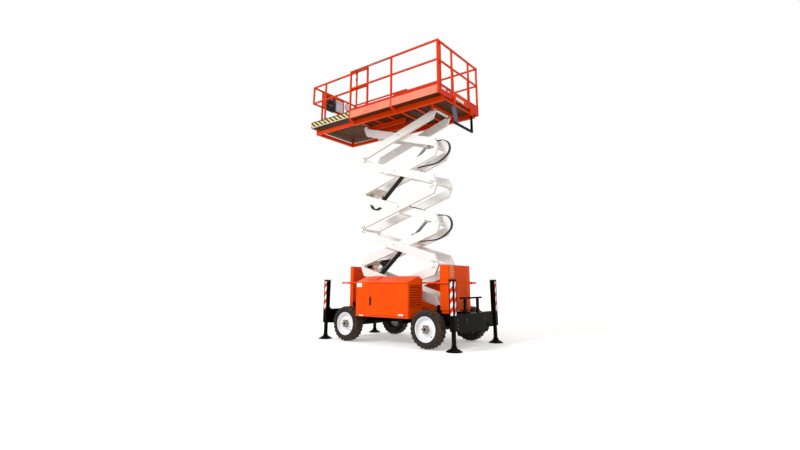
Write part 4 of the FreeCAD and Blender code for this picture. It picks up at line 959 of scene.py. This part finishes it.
# ---- Door latches ----
# A black moulded paddle latch sits in each door's free edge, over the lock plate.
latch_black = paint("latch black", tint(20, 20, 22), tint(30, 30, 32), tint(80, 78, 76), gloss=(0.35, 0.5),
                    wear=0.4)
for row, door in ((-1, "engine_door"), (1, "service_door")):
    back = sorted((row * 0.8802, row * 0.8925))
    front = sorted((row * 0.8925, row * 0.8975))
    parts = [block((-0.256, -0.216), back, (0.700, 0.855), 0.004),
             block((-0.250, -0.222), front, (0.775, 0.846), 0.002),
             round_bar(0.009, (-0.236, row * 0.892, 0.735), (-0.236, row * 0.8975, 0.735), 20, 0.001)]
    piece("paddle_latch_" + door.split("_")[0], merged(parts), latch_black, door)

# ---- Blank plates ----
# Thin white plates and films, without any lettering, where the machine carries its notices.
blank_white = paint("blank plate white", tint(238, 238, 240), tint(228, 228, 230), tint(150, 146, 142),
                    gloss=(0.3, 0.45), wear=0.5, shine=0.3)
plate_thick = 0.0012


def thin_plates(name, body, axis, face, side, areas):
    """Thin plates on a flat face. An area is low and high along, then low and high z."""
    shapes = []
    for low, high, z_low, z_high in areas:
        proud = sorted((face + side * 0.0001, face + side * plate_thick))
        spans = (proud, (low, high)) if axis == "x" else ((low, high), proud)
        shapes.append(block(*spans, (z_low, z_high), 0.0004, 1))
    piece(name, merged(shapes), blank_white, body)


thin_plates("pod_plates_near", "chassis", "y", -0.880, -1,
            [(-0.593, -0.458, 1.033, 1.109), (-0.521, -0.416, 0.495, 0.517)])
thin_plates("door_plate_near", "engine_door", "y", -0.880, -1, [(0.435, 0.549, 0.531, 0.562)])
thin_plates("pod_plates_far", "chassis", "y", 0.880, 1,
            [(-0.593, -0.458, 1.033, 1.109), (-0.521, -0.416, 0.495, 0.517)])
thin_plates("board_plates", "platform", "x", 1.361, 1,
            [(-0.708, -0.544, 4.796, 4.846), (-0.486, -0.391, 4.810, 4.832), (-0.155, 0.169, 4.751, 4.815)])

# ---- Cover at the end of the arms ----
# Small dark orange discs stand for the punched holes of its end sheet, as painted shade, and a folded seam crosses
# it.
# Darker orange for the discs: painted shade inside the holes.
hole_shade = paint("punched hole", tint(176, 40, 0), tint(158, 34, 0), tint(120, 34, 8), gloss=(0.6, 0.8),
                  wear=0.2, shine=0.05)
field, field_in, field_out = geometry_tree(
    "Punched field", ("Width", "Float"), ("Height", "Float"), ("Columns", "Int"), ("Rows", "Int"),
    ("Hole Radius", "Float"), ("Depth", "Float"), ("Finish", "Material"))
sheet_grid = node(field, "GeometryNodeMeshGrid", Size_X=field_in.outputs["Width"],
                  Size_Y=field_in.outputs["Height"], Vertices_X=field_in.outputs["Columns"],
                  Vertices_Y=field_in.outputs["Rows"])
one_hole = node(field, "GeometryNodeMeshCylinder", Vertices=8, Radius=field_in.outputs["Hole Radius"],
                Depth=field_in.outputs["Depth"])
punched = node(field, "GeometryNodeInstanceOnPoints", Points=sheet_grid.outputs["Mesh"],
               Instance=one_hole.outputs["Mesh"])
punched_real = node(field, "GeometryNodeRealizeInstances", Geometry=punched.outputs[0])
punched_faced = node(field, "GeometryNodeSetMaterial", Geometry=punched_real.outputs[0],
                     Material=field_in.outputs["Finish"])
field.links.new(punched_faced.outputs[0], field_out.inputs[0])
cover_face = 1.229
for number, (z_low, z_high, rows) in enumerate(((0.660, 1.075, 22), (1.100, 1.410, 17))):
    holes = grown(bpy.data.meshes.new("start"), field, Width=0.450, Height=z_high - z_low, Columns=24, Rows=rows,
                  Hole_Radius=0.0052, Depth=0.0012, Finish=hole_shade)
    upright = Matrix.Translation((cover_face, 0.040, (z_low + z_high) / 2)) @ Matrix.Rotation(math.pi / 2, 4, "Y")
    turned_flat = upright @ Matrix.Rotation(math.pi / 2, 4, "Z")
    punch = set_at(from_mesh(holes), turned_flat)
    piece("punched_holes_%d" % number, punch, hole_shade, "chassis")
seam = [block((cover_face - 0.001, cover_face + 0.002), (-0.385, 0.385), (1.084, 1.090), 0.0008, 1)]
seam.append(block((1.0580, 1.2270), (-0.3945, -0.3921), (1.1700, 1.4280), 0.001, 1))
piece("cover_seam", merged(seam), housing_orange, "chassis")
# The louvre hoods are the housing's orange painted pale: a painted highlight where they catch the light.
hood_highlight_paint = paint("louvre hood lit orange", tint(255, 196, 150), tint(250, 176, 122), tint(200, 130, 90), wear=0.4)
hoods = []
for k in range(7):
    z = 1.212 + 0.033 * k
    hoods.append(block((cover_face - 0.002, cover_face + 0.014), (-0.376, -0.222), (z, z + 0.016), 0.006, 2))
piece("cover_hoods", merged(hoods), hood_highlight_paint, "chassis")

# ---- Control box ----
# Moulded black box at the end of the extension. A red stop button with a yellow collar, two levers
# and a row of switches are on its inner face, and a grip bar is over its top.
box_black = paint("moulded black", tint(24, 24, 27), tint(34, 34, 38), tint(72, 72, 76), gloss=(0.42, 0.6),
                  wear=0.3)
box_face = -2.2100
box_y, box_z = (-0.365, -0.100), (5.342, 5.702)
case = [block((-2.3095, box_face), box_y, box_z, 0.012, 3),
        block((box_face - 0.020, box_face + 0.003), (box_y[0] + 0.014, box_y[1] - 0.014),
              (box_z[0] + 0.014, box_z[1] - 0.014), 0.003)]
case += [block((-2.3090, box_face - 0.020), (y - 0.006, y + 0.006), (box_z[1] - 0.004, box_z[1] + 0.020), 0.004)
         for y in (-0.330, -0.135)]
case.append(block((-2.2900, -2.2700), (-0.336, -0.129), (box_z[1] + 0.010, box_z[1] + 0.024), 0.005))
case = piece("control_case", merged(case), box_black, "extension")
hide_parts("control_box")
panel_white = paint("panel grey-white", tint(232, 234, 242), tint(218, 222, 232), tint(150, 150, 152),
                    gloss=(0.35, 0.5), wear=0.5)
cover(panel_white, "control_panels")
stop_red = paint("stop button red", tint(196, 18, 12), tint(182, 14, 10), tint(120, 30, 24), wear=0.2)
collar_yellow = paint("collar yellow", tint(240, 196, 20), tint(230, 184, 16), tint(160, 130, 30), wear=0.2)
switch_steel = paint("switch steel", tint(190, 190, 192), tint(170, 170, 174), tint(110, 108, 104), wear=0.3)
piece("stop_collar", round_bar(0.024, (box_face + 0.002, -0.150, 5.600), (box_face + 0.009, -0.150, 5.600), 32,
                               0.002), collar_yellow, "extension")
piece("stop_button", merged([round_bar(0.012, (box_face + 0.006, -0.150, 5.600),
                                       (box_face + 0.026, -0.150, 5.600), 24),
                             round_bar(0.020, (box_face + 0.024, -0.150, 5.600),
                                       (box_face + 0.038, -0.150, 5.600), 32, 0.005)]), stop_red, "extension")
switches = []
for y in (-0.325, -0.285, -0.245, -0.205):
    switches.append(round_bar(0.011, (box_face - 0.001, y, 5.480), (box_face + 0.005, y, 5.480), 6, 0.001))
    switches.append(round_bar(0.0035, (box_face + 0.004, y, 5.480), (box_face + 0.024, y, 5.490), 12, 0.001))
for z in (5.368, 5.676):
    for y in (-0.338, -0.127):
        switches.append(round_bar(0.007, (box_face + 0.002, y, z), (box_face + 0.006, y, z), 6, 0.001))
switches.append(block((box_face + 0.002, box_face + 0.005), (-0.275, -0.205), (5.630, 5.655), 0.001, 1))
piece("box_switches", merged(switches), switch_steel, "extension")
levers = []
for y in (-0.315, -0.235):
    levers.append(round_bar(0.021, (box_face + 0.002, y, 5.560), (box_face + 0.010, y, 5.560), 28, 0.003))
    levers.append(round_bar(0.007, (box_face + 0.008, y, 5.560), (box_face + 0.055, y, 5.578), 16))
    levers.append(round_bar(0.014, (box_face + 0.050, y, 5.576), (box_face + 0.080, y, 5.588), 24, 0.006))
lid = [block((box_face + 0.001, box_face + 0.006), (-0.345, -0.120), (5.520, 5.528), 0.002, 1)]
piece("box_levers", merged(levers + lid), box_black, "extension")
clips = [block((-2.257, -2.250), (-0.020, 0.180), (5.655, 5.662), 0.001, 1)]
clips += [round_bar(0.006, (-2.257, y, z), (-2.252, y, z), 6, 0.001) for y in (-0.025, 0.185) for z in (5.440, 5.640)]
piece("panel_screws", merged(clips), switch_steel, "extension")

# ---- Extension fittings ----
# A galvanised stop bracket stands on the near edge of the extension.
galvanised = paint("galvanised steel", tint(206, 206, 210), tint(186, 186, 190), tint(130, 126, 120),
                   gloss=(0.35, 0.55), wear=0.5)
bracket = [block((-1.922, -1.898), (-0.757, -0.7505), (4.752, 5.030), 0.002),
           block((-1.922, -1.898), (-0.757, -0.7440), (4.905, 4.930), 0.002)]
bracket += [round_bar(0.007, (-1.910, -0.7565, z), (-1.910, -0.7605, z), 6, 0.001) for z in (4.790, 4.862)]
piece("stop_bracket", merged(bracket), galvanised, "extension")

# ---- Platform latches and chain ----
# Spring latches hold the extension and the corner, and a zinc-plated chain is kept along the top rail.
latch_parts = []
for z in (5.560, 5.700):
    latch_parts.append(round_bar(0.011, (-0.842, -0.802, z), (-0.842, -0.802, z + 0.055), 20, 0.002))
    latch_parts.append(round_bar(0.005, (-0.842, -0.802, z + 0.05), (-0.842, -0.802, z + 0.075), 12, 0.001))
piece("post_latches", merged(latch_parts), latch_black, "platform")
chain, chain_in, chain_out = geometry_tree(
    "Chain", ("Link Count", "Int"), ("Wire Radius", "Float"), ("Link Radius", "Float"), ("Finish", "Material"))
run = node(chain, "GeometryNodeResampleCurve", Curve=chain_in.outputs["Geometry"],
           Count=chain_in.outputs["Link Count"])
ring = node(chain, "GeometryNodeCurvePrimitiveCircle", Resolution=14, Radius=chain_in.outputs["Link Radius"])
longer = node(chain, "GeometryNodeTransform", Geometry=ring.outputs[0], Scale=(1.0, 1.75, 1.0))
wire = node(chain, "GeometryNodeCurvePrimitiveCircle", Resolution=6, Radius=chain_in.outputs["Wire Radius"])
link = node(chain, "GeometryNodeCurveToMesh", Curve=longer.outputs[0], Profile_Curve=wire.outputs[0])
way = chain.nodes.new("GeometryNodeInputTangent")
turn_way = node(chain, "FunctionNodeAlignRotationToVector", {"axis": "Y"}, Vector=way.outputs[0])
order = chain.nodes.new("GeometryNodeInputIndex")
quarter = node(chain, "ShaderNodeMath", {"operation": "MULTIPLY"})
chain.links.new(order.outputs[0], quarter.inputs[0])
quarter.inputs[1].default_value = math.pi / 2
roll_over = node(chain, "ShaderNodeCombineXYZ", Y=quarter.outputs[0])
turn_both = node(chain, "FunctionNodeRotateRotation", {"rotation_space": "LOCAL"},
                 Rotation=turn_way.outputs[0], Rotate_By=roll_over.outputs[0])
links = node(chain, "GeometryNodeInstanceOnPoints", Points=run.outputs[0], Instance=link.outputs[0],
             Rotation=turn_both.outputs[0])
links_real = node(chain, "GeometryNodeRealizeInstances", Geometry=links.outputs[0])
links_faced = node(chain, "GeometryNodeSetMaterial", Geometry=links_real.outputs[0],
                   Material=chain_in.outputs["Finish"])
chain.links.new(links_faced.outputs[0], chain_out.inputs[0])
chain_line = bpy.data.curves.new("chain line", "CURVE")
chain_line.dimensions = "3D"
chain_spline = chain_line.splines.new("NURBS")
chain_spots = [(-0.812, -0.829, 5.822), (-0.660, -0.829, 5.800), (-0.500, -0.829, 5.815), (-0.330, -0.829, 5.796),
               (-0.160, -0.829, 5.812), (0.000, -0.829, 5.798), (0.150, -0.829, 5.822)]
chain_spline.points.add(len(chain_spots) - 1)
for point, place in zip(chain_spline.points, chain_spots):
    point.co = (*place, 1)
chain_spline.order_u = 3
chain_spline.use_endpoint_u = True
zinc = ferrule_steel
piece("rail_chain", grown(chain_line, chain, Link_Count=46, Wire_Radius=0.0032, Link_Radius=0.0085, Finish=zinc),
      zinc, "platform", 60)
eyes = [round_bar(0.004, (x, -0.8185, 5.822), (x, -0.834, 5.822), 12, 0.001) for x in (-0.812, 0.150)]
piece("chain_eyes", merged(eyes), zinc, "platform")

# ---- Folding step ----
# A flat blue-grey tread hangs beside the loop under the entry, bolted to its stile.
tread_grey = paint("tread grey", tint(96, 102, 124), tint(80, 86, 108), tint(150, 150, 156), gloss=(0.35, 0.5),
                   wear=0.6)


def flat_plate(corners, x, thick, edge):
    """Flat plate across X from its (y, z) corners."""
    shape = bmesh.new()
    face = shape.faces.new([shape.verts.new((x, y, z)) for y, z in corners])
    pushed = bmesh.ops.extrude_face_region(shape, geom=[face])
    for item in pushed["geom"]:
        if isinstance(item, bmesh.types.BMVert):
            item.co.x += thick
    bmesh.ops.recalc_face_normals(shape, faces=shape.faces)
    bmesh.ops.bevel(shape, geom=shape.edges[:], offset=edge, segments=2, affect="EDGES")
    return shape


tread = [flat_plate([(-0.415, 4.500), (-0.340, 4.220), (-0.190, 4.262), (-0.262, 4.572)], 1.4055, 0.008, 0.002),
         flat_plate([(-0.340, 4.220), (-0.190, 4.262), (-0.186, 4.250), (-0.336, 4.208)], 1.4055, 0.030, 0.001)]
piece("hanging_tread", merged(tread), tread_grey, "platform")
bolts("tread_bolts", "platform", [((1.4137, y, z), (1, 0, 0)) for y, z in ((-0.278, 4.548), (-0.272, 4.500))],
      0.008, bolt_dark)

# ---- Cylinder pipes and glands ----
# Each barrel carries a steel pipe to its gland, held by straps, and a valve block at its foot.
for name, low, high in (("lower", 1, 3), ("upper", 3, 5)):
    foot, head = on_arm(low, -1, 0.686, 0.020), on_arm(high, -1, -0.645, -0.072)
    way = (head - foot).normalized()
    side = Vector((0, 1, 0))
    top = way.cross(side)
    top = top if top.z > 0 else -top

    def beside(along, across, y=0.0):
        return foot + way * along + top * across + Vector((0, y, 0))

    pipe = flexible(name + "_barrel_pipe",
                    [[beside(0.125, 0.066, -0.026), beside(0.165, 0.066, -0.040), beside(0.200, 0.020, -0.060),
                      beside(0.250, 0.010, -0.060), beside(1.040, 0.010, -0.060), beside(1.085, 0.010, -0.060),
                      beside(1.085, 0.010, -0.044)]],
                    0.0065, ferrule_steel)
    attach(pipe, name + "_barrel")
    bands = []
    for along in (0.30, 0.62, 0.94):
        band = turned([(-0.011, 0.0472), (-0.011, 0.0490), (0.011, 0.0490), (0.011, 0.0472)], 40)
        to_way = Matrix.Translation(foot + way * along) @ way.to_track_quat("Y", "Z").to_matrix().to_4x4()
        bands.append(set_at(band, to_way))
    piece(name + "_barrel_bands", merged(bands), barrel_black, name + "_barrel")
    straps = []
    valve = block((-0.030, 0.030), (-0.040, 0.040), (-0.022, 0.030), 0.003)
    seat = Matrix((way, side, top)).transposed().to_4x4()
    seat.translation = beside(0.095, 0.066)
    straps.append(set_at(valve, seat))
    for along, y in ((0.080, -0.018), (0.080, 0.018), (0.110, 0.018)):
        straps.append(round_bar(0.010, beside(along, 0.094, y), beside(along, 0.112, y), 6, 0.001))
    piece(name + "_valve_block", merged(straps), galvanised, name + "_barrel")
    nut_ring = turned([(-0.022, 0.0555), (-0.022, 0.0590), (0.006, 0.0590), (0.010, 0.0550), (0.010, 0.0480),
                       (-0.010, 0.0480)], 48)
    to_gland = Matrix.Translation(foot + way * 1.180) @ way.to_track_quat("Y", "Z").to_matrix().to_4x4()
    piece(name + "_gland_nut", set_at(nut_ring, to_gland), barrel_black, name + "_barrel")

# ---- Small hoses ----
# Two rubber hoses hang in a loop from the valve block at a left-hand joint to a clamp on the tube
# that carries the upper cylinder's foot. Single hoses lie along two of the arms, held by clips.
foot = on_arm(3, -1, 0.686, 0.020)
loop = [(-0.940, 2.985), (-0.945, 2.900), (-0.938, 2.800), (-0.892, 2.725), (-0.815, 2.690), (-0.735, 2.692),
        (-0.672, 2.728), (-0.655, 2.780), (-0.690, 2.825)]
small_loop = flexible("loop_hose", [[(x, y, z) for x, z in loop] for y in (-0.118, -0.058)], 0.017, hose_black)
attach(small_loop, "inner_arm_3")
clamp = [block((foot.x - 0.046, foot.x + 0.046), (-0.128, -0.050), (foot.z - 0.046, foot.z + 0.046), 0.004)]
clamp += [round_bar(0.028, (-0.672, y, 2.718), (-0.652, y, 2.792), 20, 0.003) for y in (-0.118, -0.058)]
clamp += [round_bar(0.0195, (-0.940, y, 2.990), (-0.944, y, 2.925), 20, 0.002) for y in (-0.118, -0.058)]
piece("loop_ferrules", merged(clamp), latch_black, "inner_arm_3")
for arm, lean, y, spots in ((3, -1, -0.211, [(0.060, 0.094), (-0.080, 0.097), (-0.300, 0.094), (-0.480, 0.097),
                                             (-0.640, 0.094)]),
                            (4, 1, -0.168, [(-0.760, -0.040), (-0.640, -0.062), (-0.450, -0.070), (-0.300, -0.058),
                                            (-0.180, -0.066)])):
    line = [on_arm(arm, lean, along, across, y) for along, across in spots]
    run = flexible("arm_%d_hose" % arm, [line], 0.009, hose_black)
    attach(run, "inner_arm_%d" % arm)
    ends_here = []
    for at, to in ((line[0], line[1]), (line[-1], line[-2])):
        step = (to - at).normalized()
        ends_here.append(round_bar(0.0125, at - step * 0.020, at + step * 0.022, 6, 0.0015))
        ends_here.append(round_bar(0.0115, at + step * 0.020, at + step * 0.045, 20, 0.0015))
        foot_y = y + (0.013 if arm == 4 else 0.0)
        ends_here.append(block((at.x - 0.016, at.x + 0.016),
                               sorted((at.y, -0.1815)) if arm == 4 else (at.y - 0.016, at.y + 0.016),
                               (at.z - 0.020, at.z + 0.010), 0.002))
    piece("arm_%d_hose_ends" % arm, merged(ends_here), ferrule_steel, "inner_arm_%d" % arm)

# ---- Valve blocks on the cross tubes ----
# Machined steel blocks are clamped round the cross tube at two left-hand joints. Hexagon plugs and
# elbows stand on them, and a black guard plate beside the lower cylinder keeps the hoses off it.
for arm in (1, 3):
    x, z = -1.0276, 0.667 + 0.788 * arm
    shapes = [block((x - 0.045, x + 0.045), (-0.110, 0.010), (z - 0.040, z + 0.042), 0.004),
              block((x + 0.040, x + 0.105), (-0.085, -0.020), (z - 0.030, z + 0.028), 0.004)]
    for dx, y in ((-0.022, -0.085), (0.020, -0.085), (-0.022, -0.020), (0.020, -0.030), (0.072, -0.052)):
        shapes.append(round_bar(0.014, (x + dx, y, z + 0.028), (x + dx, y, z + 0.058), 6, 0.0015))
    shapes.append(round_bar(0.012, (x + 0.100, -0.052, z), (x + 0.128, -0.052, z - 0.006), 6, 0.0015))
    piece("tube_valve_block_%d" % arm, merged(shapes), galvanised if arm == 3 else latch_black,
          "inner_arm_%d" % arm)
foot, head = on_arm(1, -1, 0.686, 0.020), on_arm(3, -1, -0.645, -0.072)
way = (head - foot).normalized()
top = Vector((-way.z, 0, way.x))
corners = [foot + way * 0.130 + top * 0.040, foot + way * 0.470 + top * 0.040, foot + way * 0.400 + top * 0.075,
           foot + way * 0.160 + top * 0.265, foot + way * 0.120 + top * 0.240]
guard = bmesh.new()
face = guard.faces.new([guard.verts.new(c + Vector((0, 0.016, 0))) for c in corners])
pushed = bmesh.ops.extrude_face_region(guard, geom=[face])
for item in pushed["geom"]:
    if isinstance(item, bmesh.types.BMVert):
        item.co.y += 0.006
bmesh.ops.recalc_face_normals(guard, faces=guard.faces)
bmesh.ops.bevel(guard, geom=guard.edges[:], offset=0.0015, segments=1, affect="EDGES")
piece("hose_guard", guard, barrel_black, "lower_barrel")
